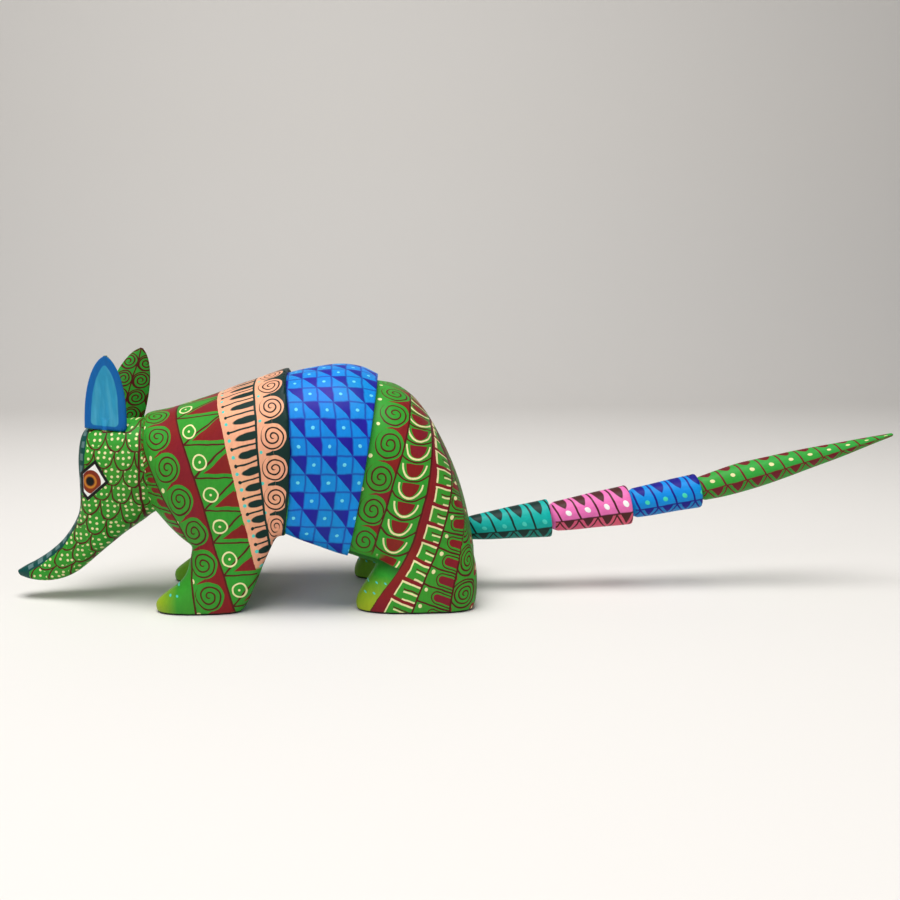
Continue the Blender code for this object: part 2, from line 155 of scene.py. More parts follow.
# %% Slices of the shell, head and legs (millimetres, as drawn on the block)
# x and z of the top, x and z of the bottom, half width, wider below, bow
FORE_SLICES = (
    (-113.5, 66.6, -109.0, 34.0, 15.5, 0.00, 0.0),
    (-112.5, 68.4, -100.5, 26.5, 22.0, 0.10, 0.0),
    (-111.0, 69.3, -93.0, 21.5, 27.0, 0.12, 0.0),
    (-103.5, 70.8, -87.0, 20.0, 29.6, 0.10, 0.3),
    (-95.5, 73.3, -80.0, 21.0, 31.4, 0.06, 0.8),
    (-87.0, 76.0, -73.0, 23.0, 32.8, 0.03, 1.2),
    (-79.2, 79.0, -68.0, 24.4, 33.6, 0.00, 1.6),
    (-72.6, 81.2, -64.8, 25.0, 34.2, 0.00, 2.0),
    (-66.2, 83.5, -62.6, 25.2, 34.6, 0.00, 3.0),
    (-60.6, 85.5, -61.0, 25.0, 35.0, 0.00, 3.8),
)
MIDDLE_SLICES = (
    (-63.5, 82.2, -63.5, 26.6, 32.8, 0.00, 3.8),
    (-59.6, 83.6, -60.4, 25.5, 33.7, 0.00, 3.8),
    (-51.5, 85.4, -55.0, 23.2, 34.2, 0.00, 3.0),
    (-41.5, 86.7, -48.6, 20.8, 34.7, 0.00, 1.8),
    (-33.2, 85.7, -43.4, 18.8, 34.8, 0.00, 1.2),
    (-27.0, 82.8, -38.9, 17.4, 34.8, 0.00, 0.8),
)
HIND_SLICES = (
    (-30.0, 80.6, -42.0, 19.0, 33.0, 0.00, 0.8),
    (-25.8, 80.2, -38.0, 18.0, 33.6, 0.00, 0.8),
    (-20.4, 79.0, -33.0, 16.2, 34.0, 0.00, 0.6),
    (-14.9, 75.4, -27.0, 14.8, 34.2, 0.00, 0.4),
    (-10.0, 70.0, -21.0, 14.0, 34.2, 0.00, 0.2),
    (-5.4, 62.6, -15.0, 13.5, 33.8, 0.00, 0.0),
    (-1.3, 54.4, -9.0, 13.2, 33.0, 0.00, 0.0),
    (2.1, 46.2, -3.8, 13.0, 31.8, 0.00, 0.0),
    (4.8, 37.4, 0.6, 13.0, 30.0, 0.00, 0.0),
    (6.6, 28.8, 4.0, 13.0, 27.4, 0.00, 0.0),
    (7.7, 21.9, 6.2, 13.0, 23.6, 0.00, 0.0),
)
HEAD_SLICES = (
    (-100.5, 61.0, -100.5, 38.5, 11.0, 0.00, 0.0),
    (-106.5, 66.4, -105.0, 34.2, 15.6, 0.00, 0.0),
    (-115.0, 67.0, -110.5, 32.0, 16.8, 0.00, 0.0),
    (-123.8, 66.4, -114.4, 29.2, 17.0, 0.00, 0.0),
    (-130.4, 65.4, -118.2, 26.6, 16.6, 0.00, 0.0),
    (-134.6, 62.8, -122.0, 24.0, 15.8, 0.00, 0.0),
    (-136.2, 56.2, -125.5, 21.2, 15.0, 0.05, 0.0),
    (-136.0, 48.4, -129.0, 18.4, 13.8, 0.05, 0.0),
    (-135.8, 40.6, -132.6, 15.4, 12.2, 0.00, 0.0),
    (-137.2, 33.7, -136.1, 12.4, 10.4, 0.00, 0.0),
    (-140.4, 27.4, -139.4, 9.9, 9.0, 0.00, 0.0),
    (-144.6, 21.9, -143.2, 7.9, 7.8, 0.00, 0.0),
    (-149.6, 17.5, -147.5, 6.7, 6.7, 0.00, 0.0),
    (-154.8, 14.1, -152.0, 6.4, 5.5, 0.00, 0.0),
    (-158.9, 12.0, -156.6, 7.0, 4.1, 0.00, 0.0),
    (-161.6, 10.4, -160.2, 8.1, 2.2, 0.00, 0.0),
)
SHELL_POWERS = (2.3, 4.0)  # roundness above and below: 2 is an ellipse, more is squarer
HEAD_POWERS = (2.5, 2.4)
# Height, front x, back x, inner y, outer y.
FRONT_LEG_SLICES = (
    (0.0, -106.5, -76.0, 13.5, 30.6),
    (3.4, -106.8, -74.0, 13.6, 30.9),
    (6.6, -103.3, -72.6, 13.8, 31.1),
    (9.8, -99.0, -71.2, 14.0, 31.3),
    (13.2, -96.1, -69.8, 14.2, 31.6),
    (18.0, -94.4, -67.8, 14.2, 31.8),
    (24.0, -93.2, -65.0, 13.4, 31.6),
    (31.0, -91.5, -61.6, 12.0, 30.6),
    (42.0, -84.0, -62.0, 9.0, 26.0),
)
HIND_LEG_SLICES = (
    (0.0, -35.6, 6.6, 13.0, 34.4),
    (2.6, -35.7, 7.4, 13.0, 34.5),
    (6.0, -34.6, 7.9, 13.2, 34.5),
    (10.0, -32.0, 8.0, 13.4, 34.4),
    (14.0, -29.4, 7.8, 13.4, 34.2),
    (19.0, -26.4, 7.0, 12.4, 33.6),
    (26.0, -23.0, 4.8, 10.0, 32.0),
    (36.0, -19.0, 0.0, 7.0, 28.0),
)
TOE_POWERS = (2.3, 3.6)  # rounded toe, squarer heel
RIGHT_LEG_LEAD = 1.5  # both right feet stand a little ahead of the left ones
# The drawing's nose tip is put where the CAD body starts.
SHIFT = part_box("body")[0].x / MM - HEAD_SLICES[-1][0]
print("drawing moved by", round(SHIFT, 2), "mm to sit on the CAD body")


# %% Helpers that turn slices into a closed skin
def smooth_rows(rows, share):
    """A row of numbers at a share (0 to 1) of the way through a table, on a smooth curve."""
    place = share * (len(rows) - 1)
    i = min(int(place), len(rows) - 2)
    t = place - i
    p1, p2 = np.array(rows[i]), np.array(rows[i + 1])
    p0 = np.array(rows[i - 1]) if i > 0 else 2 * p1 - p2
    p3 = np.array(rows[i + 2]) if i + 2 < len(rows) else 2 * p2 - p1
    m1, m2 = (p2 - p0) / 2, (p3 - p1) / 2
    return (
        (2 * t**3 - 3 * t**2 + 1) * p1
        + (t**3 - 2 * t**2 + t) * m1
        + (3 * t**2 - 2 * t**3) * p2
        + (t**3 - t**2) * m2
    )


def signed_power(value, power):
    return math.copysign(abs(value) ** power, value)


def on_block(x, y, z):
    """A drawn point in the figure's own frame, in metres."""
    return Vector(((x + SHIFT) * MM, y * MM, z * MM))


def leaning_point(row, turn, powers):
    """A point on a leaning slice. Turn 0 is its top."""
    top_x, top_z, low_x, low_z, half, spread, bow = row
    rise, side = math.cos(turn), math.sin(turn)
    power = 2 / powers[0 if rise > 0 else 1]
    rise, side = signed_power(rise, power), signed_power(side, power)
    x = (top_x + low_x) / 2 + (top_x - low_x) / 2 * rise + bow * (1 - rise**2)
    z = (top_z + low_z) / 2 + (top_z - low_z) / 2 * rise
    return on_block(x, half * side * (1 - spread * rise), z)


def leg_point(row, turn, side, lead):
    """A point on a level slice of a leg."""
    height, front_x, back_x, inner_y, outer_y = row
    along, across = math.cos(turn), math.sin(turn)
    power = 2 / TOE_POWERS[0 if along < 0 else 1]
    along, across = signed_power(along, power), signed_power(across, power)
    x = (front_x + back_x) / 2 + (back_x - front_x) / 2 * along - lead
    y = (inner_y + outer_y) / 2 + (outer_y - inner_y) / 2 * across
    return on_block(x, side * y, height)


def wrap_grid(bm, rows_count, around, place):
    """A grid rolled into a tube by place(share along, turn), its seam joined and its ends filled."""
    made = bmesh.ops.create_grid(bm, x_segments=rows_count, y_segments=around, size=1.0)
    verts = made["verts"]
    for v in verts:
        v.co = place((v.co.x + 1) / 2, math.pi * (v.co.y + 1))
    bmesh.ops.remove_doubles(bm, verts=verts, dist=1e-6)
    verts = [v for v in verts if v.is_valid]
    rims = [e for e in bm.edges if e.is_boundary]
    bmesh.ops.holes_fill(bm, edges=rims, sides=0)
    bmesh.ops.recalc_face_normals(bm, faces=bm.faces)


def finished_object(name, bm):
    mesh = bpy.data.meshes.new(name)
    bm.to_mesh(mesh)
    bm.free()
    obj = bpy.data.objects.new(name, mesh)
    bpy.context.scene.collection.objects.link(obj)
    mesh.shade_smooth()
    return obj


def keep_result(obj):
    """Puts the mesh that an object's modifiers make in place of the one it started from."""
    graph = bpy.context.evaluated_depsgraph_get()
    result = bpy.data.meshes.new_from_object(obj.evaluated_get(graph))
    obj.modifiers.clear()
    old, obj.data = obj.data, result
    bpy.data.meshes.remove(old)


def fuse(obj, voxel, passes):
    """Joins overlapping skins into one closed skin, then rubs the joins smooth like sandpaper."""
    modifier = obj.modifiers.new("fuse", "REMESH")
    modifier.mode = "VOXEL"
    modifier.voxel_size = voxel
    keep_result(obj)
    bm = bmesh.new()
    bm.from_mesh(obj.data)
    axes = {"use_axis_x": True, "use_axis_y": True, "use_axis_z": True}
    for _ in range(passes):
        bmesh.ops.smooth_vert(bm, verts=bm.verts, factor=0.5, **axes)
    bm.to_mesh(obj.data)
    bm.free()
    obj.data.shade_smooth()
    print(obj.name, "fused:", len(obj.data.polygons), "faces")


# %% [markdown]
# ## The four carved forms
# These are the head, the fore part with its two legs, the middle band and the hind part with its
# two legs.
# The legs grow out of the shell without a seam, so leg and shell are fused and then smoothed.

# %% Carve them
SHELL_AROUND, HEAD_AROUND, LEG_AROUND, LEG_ROWS = 160, 128, 72, 48
VOXEL, RUBS = 0.0008, 3


def leg_skins(bm, rows):
    for side, lead in ((-1, 0.0), (1, RIGHT_LEG_LEAD)):
        part = bmesh.new()
        wrap_grid(part, LEG_ROWS, LEG_AROUND, lambda s, t: leg_point(smooth_rows(rows, s), t, side, lead))
        mesh = bpy.data.meshes.new("leg")
        part.to_mesh(mesh)
        part.free()
        bm.from_mesh(mesh)
        bpy.data.meshes.remove(mesh)


def carve(name, rows, count, leg_rows=None, powers=SHELL_POWERS, around=SHELL_AROUND):
    bm = bmesh.new()
    wrap_grid(bm, count, around, lambda s, t: leaning_point(smooth_rows(rows, s), t, powers))
    if leg_rows:
        leg_skins(bm, leg_rows)
    return finished_object(name, bm)


head = carve("painted_head", HEAD_SLICES, 120, powers=HEAD_POWERS, around=HEAD_AROUND)
fore = carve("painted_forequarters", FORE_SLICES, 60, FRONT_LEG_SLICES)
middle = carve("painted_middle_band", MIDDLE_SLICES, 50)
hind = carve("painted_hindquarters", HIND_SLICES, 70, HIND_LEG_SLICES)
for form in (fore, hind):
    fuse(form, VOXEL, RUBS)
for form in (head, fore, middle, hind):
    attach(form, "figure")
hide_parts("body")

# %% [markdown]
# ## Holes for the ears and the tail
# The ears are separate blades that push into the head, and the tail's first link turns in a round
# cup in the rump. Both are cut with a Boolean, which takes one closed shape away from another.
# The cutters are used once and then removed.

# %% Joint sizes
EAR_SPLAY, EAR_TURN = math.radians(9), math.radians(8)
EAR_WIDTH, EAR_THICKNESS, EAR_HOLLOW = 15.6, 5.0, 1.6
TENON_RADIUS, TENON_LENGTH = 1.6, 9.0
EAR_FOOT = (-125.4, 8.8, 63.8)  # drawn, less its side
EARS = {
    "left": (-1, 27.0, 0.0, math.radians(4)),
    "right": (1, 29.97, 0.9, math.radians(16)),
}
TENON_ROOM, SEAT_HEIGHT = 0.08, 12.0
GAP = 0.3
CUP, CUP_MOUTH = 4.7, ((3.4, 5.6), (13.6, 6.15), (13.6, 0.0))
TAIL_ROOT = (2.9, 23.2)
ROOT_SLOPE = math.radians(6.6)
ROD_SIDES = 24
HOLE_RADIUS, HOLE_REACH, HOLE_TOP = 0.88, 14.0, 8.6


def ear_stand(side, set_back, lean):
    """Where an ear's base stands. Its hollow face looks along its own -Y."""
    x, y, z = EAR_FOOT
    return (
        Matrix.Translation(on_block(x + set_back, side * y, z))
        @ Matrix.Rotation(-side * EAR_SPLAY, 4, "X")
        @ Matrix.Rotation(lean, 4, "Y")
        @ Matrix.Rotation(math.pi + EAR_TURN if side > 0 else -EAR_TURN, 4, "Z")
    )


def take_away(obj, cutter, operation="DIFFERENCE"):
    """Cuts one closed shape out of a piece, or joins it on, and keeps the result."""
    modifier = obj.modifiers.new("cut", "BOOLEAN")
    modifier.operation = operation
    modifier.solver = "EXACT"
    modifier.object = cutter
    keep_result(obj)
    cut_mesh = cutter.data
    bpy.data.objects.remove(cutter)
    bpy.data.meshes.remove(cut_mesh)


def rod(bm, radius, low, high):
    """A round rod on local Z."""
    radii = {"radius1": radius * MM, "radius2": radius * MM}
    made = bmesh.ops.create_cone(bm, cap_ends=True, segments=ROD_SIDES, depth=(high - low) * MM, **radii)
    bmesh.ops.translate(bm, vec=(0, 0, (low + high) / 2 * MM), verts=made["verts"])


# %% Cut the ear seats
for side, _, set_back, lean in EARS.values():
    for part in ("slot", "hole"):
        bm = bmesh.new()
        if part == "slot":
            block = bmesh.ops.create_cube(bm, size=1.0)["verts"]
            size = Vector((EAR_WIDTH + 2 * GAP, EAR_THICKNESS + 2 * GAP, SEAT_HEIGHT)) * MM
            bmesh.ops.scale(bm, vec=size, verts=block)
            bmesh.ops.translate(bm, vec=(0, 0, (SEAT_HEIGHT / 2 - GAP) * MM), verts=block)
        else:
            rod(bm, TENON_RADIUS + TENON_ROOM, -TENON_LENGTH - GAP, 4)
        bm.transform(ear_stand(side, set_back, lean))
        take_away(head, finished_object("cutter", bm))
print("head:", len(head.data.polygons), "faces after cutting the ear seats")


# %% Cut the cup for the tail
def spun(bm, profile, steps):
    """A closed solid turned about local X from (x, radius) points that start and end on it."""
    verts = [bm.verts.new((x * MM, 0.0, radius * MM)) for x, radius in profile]
    edges = [bm.edges.new(pair) for pair in zip(verts, verts[1:])]
    full_turn = {"cent": (0, 0, 0), "axis": (1, 0, 0), "angle": 2 * math.pi, "use_merge": True}
    bmesh.ops.spin(bm, geom=verts + edges, steps=steps, **full_turn)
    bmesh.ops.remove_doubles(bm, verts=bm.verts, dist=1e-6)
    bmesh.ops.recalc_face_normals(bm, faces=bm.faces)


def bow(centre, radius, start, end, steps):
    """Points of (x, radius) along a round arc. Angles are in degrees from the rear."""
    return [
        (centre + radius * math.cos(math.radians(a)), radius * math.sin(math.radians(a)))
        for a in np.linspace(start, end, steps + 1)
    ]


def link_stand(x, z, slope):
    """A tail piece's frame. Its own X runs back along it, from its pivot."""
    return Matrix.Translation((x * MM, 0, z * MM)) @ Matrix.Rotation(-slope, 4, "Y")


bm = bmesh.new()
spun(bm, [(-CUP, 0.0), *bow(0.0, CUP, 170, 85, 12), *CUP_MOUTH], 48)
bm.transform(link_stand(TAIL_ROOT[0] + SHIFT, TAIL_ROOT[1], ROOT_SLOPE))
take_away(hind, finished_object("cutter", bm))
print("hindquarters:", len(hind.data.polygons), "faces after cutting the cup")

# %% [markdown]
# ## Where the paint goes
# The painter first splits each form into bands with a brush line, then fills every band with one
# small motif repeated along it. A shader can do the same if each point of the wood knows which
# band it is in, how far across the band it lies and how far along. Those three numbers are worked
# out once here and stored on the mesh as attributes, so the paint follows the carved form.

# %% The dividing lines (millimetres, as drawn: x and z of points from the back down to the feet)
NECK_LINE = (
    (-112, 92), (-112, 66), (-112, 58), (-112.5, 49), (-112, 42), (-110.5, 34), (-110, -5),
)
COLLAR = (
    (-114, 92), (-113.5, 66), (-111.5, 60), (-107.5, 51), (-102.5, 40.5), (-97, 32.5), (-94.5, 26),
    (-93, 20), (-93, 13), (-92, 5), (-91, -5),
)
SPIRAL_REAR = (
    (-106, 92), (-100, 71), (-94, 58), (-90.5, 48), (-87.5, 38), (-85, 26), (-81.5, 15), (-77, -5),
)
ZIGZAG_REAR = (
    (-90, 92), (-85, 76), (-81, 66), (-79, 57), (-77, 49), (-75, 38.5), (-72.5, 27), (-70.5, 16.5),
    (-66, -5),
)
COMB_REAR = (
    (-73.5, 92), (-71.5, 80), (-69.5, 72), (-68.5, 57), (-67, 40), (-66, 29), (-65.5, 23), (-64, -5),
)
SHELL_STEP = (
    (-60.5, 92), (-59.5, 83), (-58, 72), (-57, 57.5), (-58, 43.5), (-60, 30.5), (-61.5, 24), (-63, -5),
)
RUMP_FRONT = (
    (-26, 92), (-27.5, 80), (-28, 69), (-32, 53), (-35.5, 36), (-38.5, 21.5), (-46, -5),
)
RUMP_SPIRAL_REAR = (
    (-13, 92), (-15.5, 73.5), (-16, 67), (-18.5, 58), (-21.5, 49), (-24.5, 38), (-27, 31), (-30.5, 18),
    (-37, -5),
)
SMILE_REAR = (
    (-8, 92), (-8, 65), (-7.5, 61), (-8.5, 54), (-10, 44), (-13, 33.5), (-16, 23), (-21, 14.5),
    (-27.5, 6.5), (-34, -5),
)
RUMP_COMB_REAR = (
    (-6, 92), (-5.5, 61), (-2.5, 54), (-0.5, 49.5), (-1, 45), (-2.5, 37.5), (-6.5, 23), (-11.5, 12),
    (-18, -5),
)
TONGUE_REAR = (
    (-3, 92), (-2, 56), (0.5, 47.5), (3.5, 36), (3.5, 30.5), (2, 23), (-1, 10.5), (-3.5, -5),
)


def line_x(line, height):
    """Where a dividing line lies at each height, with its corners eased by averaging."""
    x, z = np.array(line[::-1], float).T
    return sum(np.interp(height + step, z, x) for step in (-3, 0, 3)) / 3


def points_of(obj):
    """A mesh's points as drawn, in millimetres, and the way each one faces."""
    count = len(obj.data.vertices)
    place, facing = np.empty(count * 3), np.empty(count * 3)
    obj.data.vertices.foreach_get("co", place)
    obj.data.vertex_normals.foreach_get("vector", facing)
    place = place.reshape(-1, 3) / MM
    place[:, 0] -= SHIFT
    return place, facing.reshape(-1, 3)


def keep_numbers(obj, name, values):
    """Stores a number, or three, at every point."""
    values = np.asarray(values, np.float32)
    kind, key = ("FLOAT_VECTOR", "vector") if values.ndim == 2 else ("FLOAT", "value")
    obj.data.attributes.new(name, kind, "POINT").data.foreach_set(key, values.ravel())


def mark_bands(obj, lines, slices, rear_turn=False):
    """Stores the band, the way along it, its lean and its width at every point."""
    place, facing = points_of(obj)
    x, y, z = place.T
    rows = np.array(slices)
    top = np.interp(x, rows[:, 0], rows[:, 1])
    half = np.interp(x, rows[:, 0], rows[:, 4])
    centre = top - half
    turn = np.where(z > centre, np.arctan2(z - centre, np.abs(y)), 0.0)
    along = np.where(z > centre, centre + half * turn, z)
    across, width, lean = np.zeros(len(x)), np.zeros(len(x)), np.zeros(len(x))
    for k, (front, rear) in enumerate(zip(lines, lines[1:])):
        x0, x1 = line_x(front, z), line_x(rear, z)
        wide = np.maximum(x1 - x0, 1.5)
        share = np.clip((x - x0) / wide, 0, 1)
        if k == 0:
            share = np.minimum(share, (x - x0) / wide)
        inside = (x >= x0) | (k == 0)
        across += share
        width = np.where(inside, wide, width)
        slope0 = (line_x(front, z + 2) - line_x(front, z - 2)) / 4
        slope1 = (line_x(rear, z + 2) - line_x(rear, z - 2)) / 4
        lean = np.where(inside, slope0 + (slope1 - slope0) * share, lean)
    past = np.maximum(0, x - line_x(lines[-1], z))
    if rear_turn:
        past += np.where(past > 0, np.maximum(0, 33 - np.abs(y)) * 0.9, 0)
        width = np.where(past > 0, 12.0, width)
    across += past / width
    keep_numbers(obj, "band_place", np.stack([across, along, lean * np.cos(turn)], 1))
    keep_numbers(obj, "band_width", width)
    keep_numbers(obj, "underside", np.clip((-facing[:, 2] - 0.55) / 0.2, 0, 1))
    print(obj.name, "has bands 0 to", round(float(across.max()), 1))


FORE_LINES = (NECK_LINE, COLLAR, SPIRAL_REAR, ZIGZAG_REAR, COMB_REAR, SHELL_STEP)
HIND_LINES = (RUMP_FRONT, RUMP_SPIRAL_REAR, SMILE_REAR, RUMP_COMB_REAR, TONGUE_REAR)
mark_bands(fore, FORE_LINES, FORE_SLICES)
mark_bands(middle, (SHELL_STEP, RUMP_FRONT), MIDDLE_SLICES)
mark_bands(hind, HIND_LINES, HIND_SLICES, rear_turn=True)

# %% [markdown]
# ## A paint box made of nodes
# Every motif is a sum on a few numbers, such as the distance from a dot's centre. Python can write
# those sums as Math nodes if a small class stands for "a number at every point of the surface".
# A second class then lays colours over each other, as a painter does, and keeps the height of each
# layer so that the lines stand slightly proud of the ground colour.


# %% A number at every point
def fill(tree, socket, value):
    """Types a number or a colour into a socket, or links a reading or another node's output to it."""
    value = getattr(value, "socket", value)
    if isinstance(value, bpy.types.NodeSocket):
        tree.links.new(value, socket)
    else:
        socket.default_value = (*value, 1.0) if isinstance(value, tuple) else value


class Reading:
    """One number at every point of the surface. Sums on readings add Math nodes."""

    def __init__(self, tree, socket):
        self.tree, self.socket = tree, socket

    def math(self, operation, *others, clamp=False):
        node = self.tree.nodes.new("ShaderNodeMath")
        node.operation, node.use_clamp = operation, clamp
        for one, socket in zip((self, *others), node.inputs):
            fill(self.tree, socket, one)
        return Reading(self.tree, node.outputs[0])

    def __add__(self, other):
        return self.math("ADD", other)

    def __sub__(self, other):
        return self.math("SUBTRACT", other)

    def __mul__(self, other):
        return self.math("MULTIPLY", other)

    def __truediv__(self, other):
        return self.math("DIVIDE", other)

    def __neg__(self):
        return self.math("MULTIPLY", -1.0)

    def __rsub__(self, other):
        return self.math("MULTIPLY_ADD", -1.0, other)

    __radd__, __rmul__ = __add__, __mul__

    def __and__(self, other):
        return self.math("MINIMUM", other)

    def __or__(self, other):
        return self.math("MAXIMUM", other)

    def size(self):
        return self.math("ABSOLUTE")

    def over(self, limit):
        return self.math("GREATER_THAN", limit)

    def under(self, limit):
        return self.math("LESS_THAN", limit)

    def inside(self, soft=0.12):
        """1 where a signed distance is below nothing, with an edge as soft as a brush leaves."""
        return self.math("MULTIPLY_ADD", -1.0 / soft, 0.5, clamp=True)

    def repeat(self, pitch, first=0.0):
        """The distance from the nearest of a row of marks, from minus to plus half a pitch."""
        return (self - (first - pitch / 2)).math("FLOORED_MODULO", pitch) - pitch / 2

    def from_mark(self, pitch, first=0.0):
        """The distance past the last of a row of marks, from nothing to a whole pitch."""
        return (self - first).math("FLOORED_MODULO", pitch)


def length(a, b):
    return a.math("MULTIPLY_ADD", a, b * b).math("SQRT")


def brush_line(distance, thickness):
    """A line of this thickness where a signed distance is nothing."""
    return (distance.size() - thickness / 2).inside()


def dot(a, b, radius):
    return (length(a, b) - radius).inside()


def between(value, low, high):
    """1 where a distance lies between two limits."""
    return (value - high).inside() & (low - value).inside()


def coil(a, b, spacing, outer, thickness, hook=0.45):
    """A spiral line that winds out clockwise from its middle."""
    radius = length(a, b)
    turn = b.math("ARCTAN2", a) / (2 * math.pi)
    rings = (radius / spacing + turn).math("WRAP", 0.5, -0.5) * spacing
    return brush_line(rings, thickness) & (radius - outer).inside() & (hook - radius).inside()


# %% [markdown]
# ### Colours
# Aniline and acrylic paints are mixed in saucers beside the carving. A renderer counts light, so
# a colour as it is seen is turned into amounts of light first.

# %% Colours as they are mixed in the saucers
def saucer(red, green, blue):
    """A colour as an eye reads it, 0 to 255, turned into amounts of light."""
    return tuple(
        v / 255 / 12.92 if v < 10.4 else ((v / 255 + 0.055) / 1.055) ** 2.4
        for v in (red, green, blue)
    )


GRASS, LEAF, LIME = saucer(54, 150, 42), saucer(34, 122, 32), saucer(160, 180, 30)
WINE, BRICK_LINE = saucer(130, 24, 30), saucer(82, 20, 14)
PEACH, PINE = saucer(238, 170, 134), saucer(6, 44, 38)
CREAM, WHITE, BLACK = saucer(240, 230, 170), saucer(245, 245, 240), saucer(14, 16, 14)
AZURE, ULTRAMARINE, SKY = saucer(4, 134, 218), saucer(22, 22, 150), saucer(110, 215, 240)
AQUA, RIDGE_TEAL = saucer(80, 205, 190), saucer(10, 72, 66)
print("fifteen saucers of colour are mixed")


# %% Laying one colour over another
class Paint:
    """Colours laid over each other on one piece, the ground colour first."""

    def __init__(self, name, ground):
        self.material = bpy.data.materials.new(name)
        self.material.use_nodes = True
        self.tree = self.material.node_tree
        self.shader = self.tree.nodes["Principled BSDF"]
        self.colour, self.height = ground, None
        self.object_place = self.tree.nodes.new("ShaderNodeTexCoord").outputs["Object"]
        self.shader.inputs["Specular IOR Level"].default_value = 0.18

    def reading(self, socket):
        return Reading(self.tree, socket)

    def parts(self, socket):
        node = self.tree.nodes.new("ShaderNodeSeparateXYZ")
        self.tree.links.new(socket, node.inputs[0])
        return [self.reading(out) for out in node.outputs]

    def kept(self, name, single=False):
        """The numbers that were stored on the mesh."""
        node = self.tree.nodes.new("ShaderNodeAttribute")
        node.attribute_name = name
        return self.reading(node.outputs["Fac"]) if single else self.parts(node.outputs["Vector"])

    def stretched(self, stretch):
        node = self.tree.nodes.new("ShaderNodeMapping")
        node.inputs["Scale"].default_value = stretch
        self.tree.links.new(self.object_place, node.inputs["Vector"])
        return node.outputs["Vector"]

    def noise(self, scale, detail=2.0, stretch=None):
        node = self.tree.nodes.new("ShaderNodeTexNoise")
        node.inputs["Scale"].default_value = scale
        node.inputs["Detail"].default_value = detail
        place = self.stretched(stretch) if stretch else self.object_place
        self.tree.links.new(place, node.inputs["Vector"])
        return node

    def wobble(self, amount=0.45):
        """Two small wandering distances, for lines drawn by hand."""
        red, green, _ = self.parts(self.noise(210.0, 1.0).outputs["Color"])
        return (red - 0.5) * (2 * amount), (green - 0.5) * (2 * amount)

    def lay(self, colour, mask, raised=0.03):
        node = self.tree.nodes.new("ShaderNodeMix")
        node.data_type = "RGBA"
        for i, value in ((0, mask), (6, self.colour), (7, colour)):
            fill(self.tree, node.inputs[i], value)
        self.colour = node.outputs[2]
        if raised:
            step = mask * raised
            self.height = step if self.height is None else self.height | step

    def dry(self, streak_stretch=(1.0, 1.0, 0.22), shine=0.46, knife=0.10):
        """Adds brush streaks, knife marks and a satin shine, then closes the material."""
        streaks = self.reading(self.noise(1100.0, 3.0, streak_stretch).outputs["Fac"])
        patches = self.reading(self.noise(55.0, 2.0).outputs["Fac"])
        facets = self.reading(self.noise(120.0, 1.0).outputs["Fac"])
        tone = self.tree.nodes.new("ShaderNodeHueSaturation")
        value = streaks.math("MULTIPLY_ADD", 0.34, 0.83) + patches.math("MULTIPLY_ADD", 0.30, -0.15)
        fill(self.tree, tone.inputs["Value"], value)
        fill(self.tree, tone.inputs["Hue"], patches * 0.035 + 0.4825)
        fill(self.tree, tone.inputs["Color"], self.colour)
        fill(self.tree, self.shader.inputs["Base Color"], tone.outputs["Color"])
        rough = streaks.math("MULTIPLY_ADD", 0.22, shine - 0.11) + patches * 0.08
        fill(self.tree, self.shader.inputs["Roughness"], rough)
        relief = streaks * 0.035 + facets * knife
        if self.height is not None:
            relief = relief + self.height
        bump = self.tree.nodes.new("ShaderNodeBump")
        bump.inputs["Strength"].default_value = 0.9
        bump.inputs["Distance"].default_value = MM
        fill(self.tree, bump.inputs["Height"], relief)
        fill(self.tree, self.shader.inputs["Normal"], bump.outputs["Normal"])
        return self.material


class Banded(Paint):
    """Paint on a form whose bands are marked."""

    def __init__(self, name, ground):
        super().__init__(name, ground)
        self.across, along, self.lean = self.kept("band_place")
        self.width = self.kept("band_width", single=True)
        self.shake_a, self.shake_b = self.wobble()
        self.along = along + self.shake_b

    def band(self, number):
        """1 inside a band, and the distances from its middle and from its front line."""
        here = self.across.over(number) & self.across.under(number + 1)
        share = self.across - number
        front = share * self.width + self.shake_a
        middle = (share - 0.5) * self.width + self.shake_a
        return here, middle, front

    def edge(self, number, colour=BRICK_LINE, thickness=0.7):
        """A brush line along the front of a band."""
        away = (self.across - number) * self.width + self.shake_a * 0.4
        self.lay(colour, brush_line(away, thickness) & self.painted)

    def upright(self, middle):
        """The way along a band measured square to it, so that round motifs stay round."""
        return self.along + middle * self.lean


# %% [markdown]
# ## Wave spirals
# The commonest motif is a row of breaking waves. Each wave is a green or peach curl with a spiral
# drawn in it, and the darker colour behind runs forward over the curl in a thin point.


# %% Wave spirals
def waves(paint, here, middle, along, pitch, first, curl, fill, line, marks, reach=4.6, thin=0.6):
    """A row of waves. `curl` is the radius of one, and `reach` how far its point runs forward."""
    past = along.from_mark(pitch, first)
    near = along.repeat(pitch, first)
    to_last, to_next = length(middle, past), length(middle, past - pitch)
    clear = curl + 0.6
    behind = (clear - to_last).inside() & (clear - to_next).inside() & (-middle).inside()
    low = clear - past + middle * 0.10
    high = past - (pitch - clear + 0.15) - middle * 0.42
    point = low.inside() & high.inside() & middle.inside() & ((-reach) - middle).inside()
    paint.lay(fill, (behind | point) & here)
    paint.lay(line, coil(middle, near, (curl + 0.4) / 2.5, curl + 0.4, thin) & here)
    if marks:
        offset, rise, radius, colour = marks
        paint.lay(colour, dot(middle + offset, along.repeat(pitch, first + rise), radius) & here, 0.08)


# %% [markdown]
# ### Forequarters
# Four bands follow the shell's front: wave spirals, a zigzag with rings, pine drops on peach, and
# peach waves on pine. They could be an image wrapped round the block, which blurs close up. Here
# each is drawn with the numbers stored above, so it stays sharp and bends with the carving.

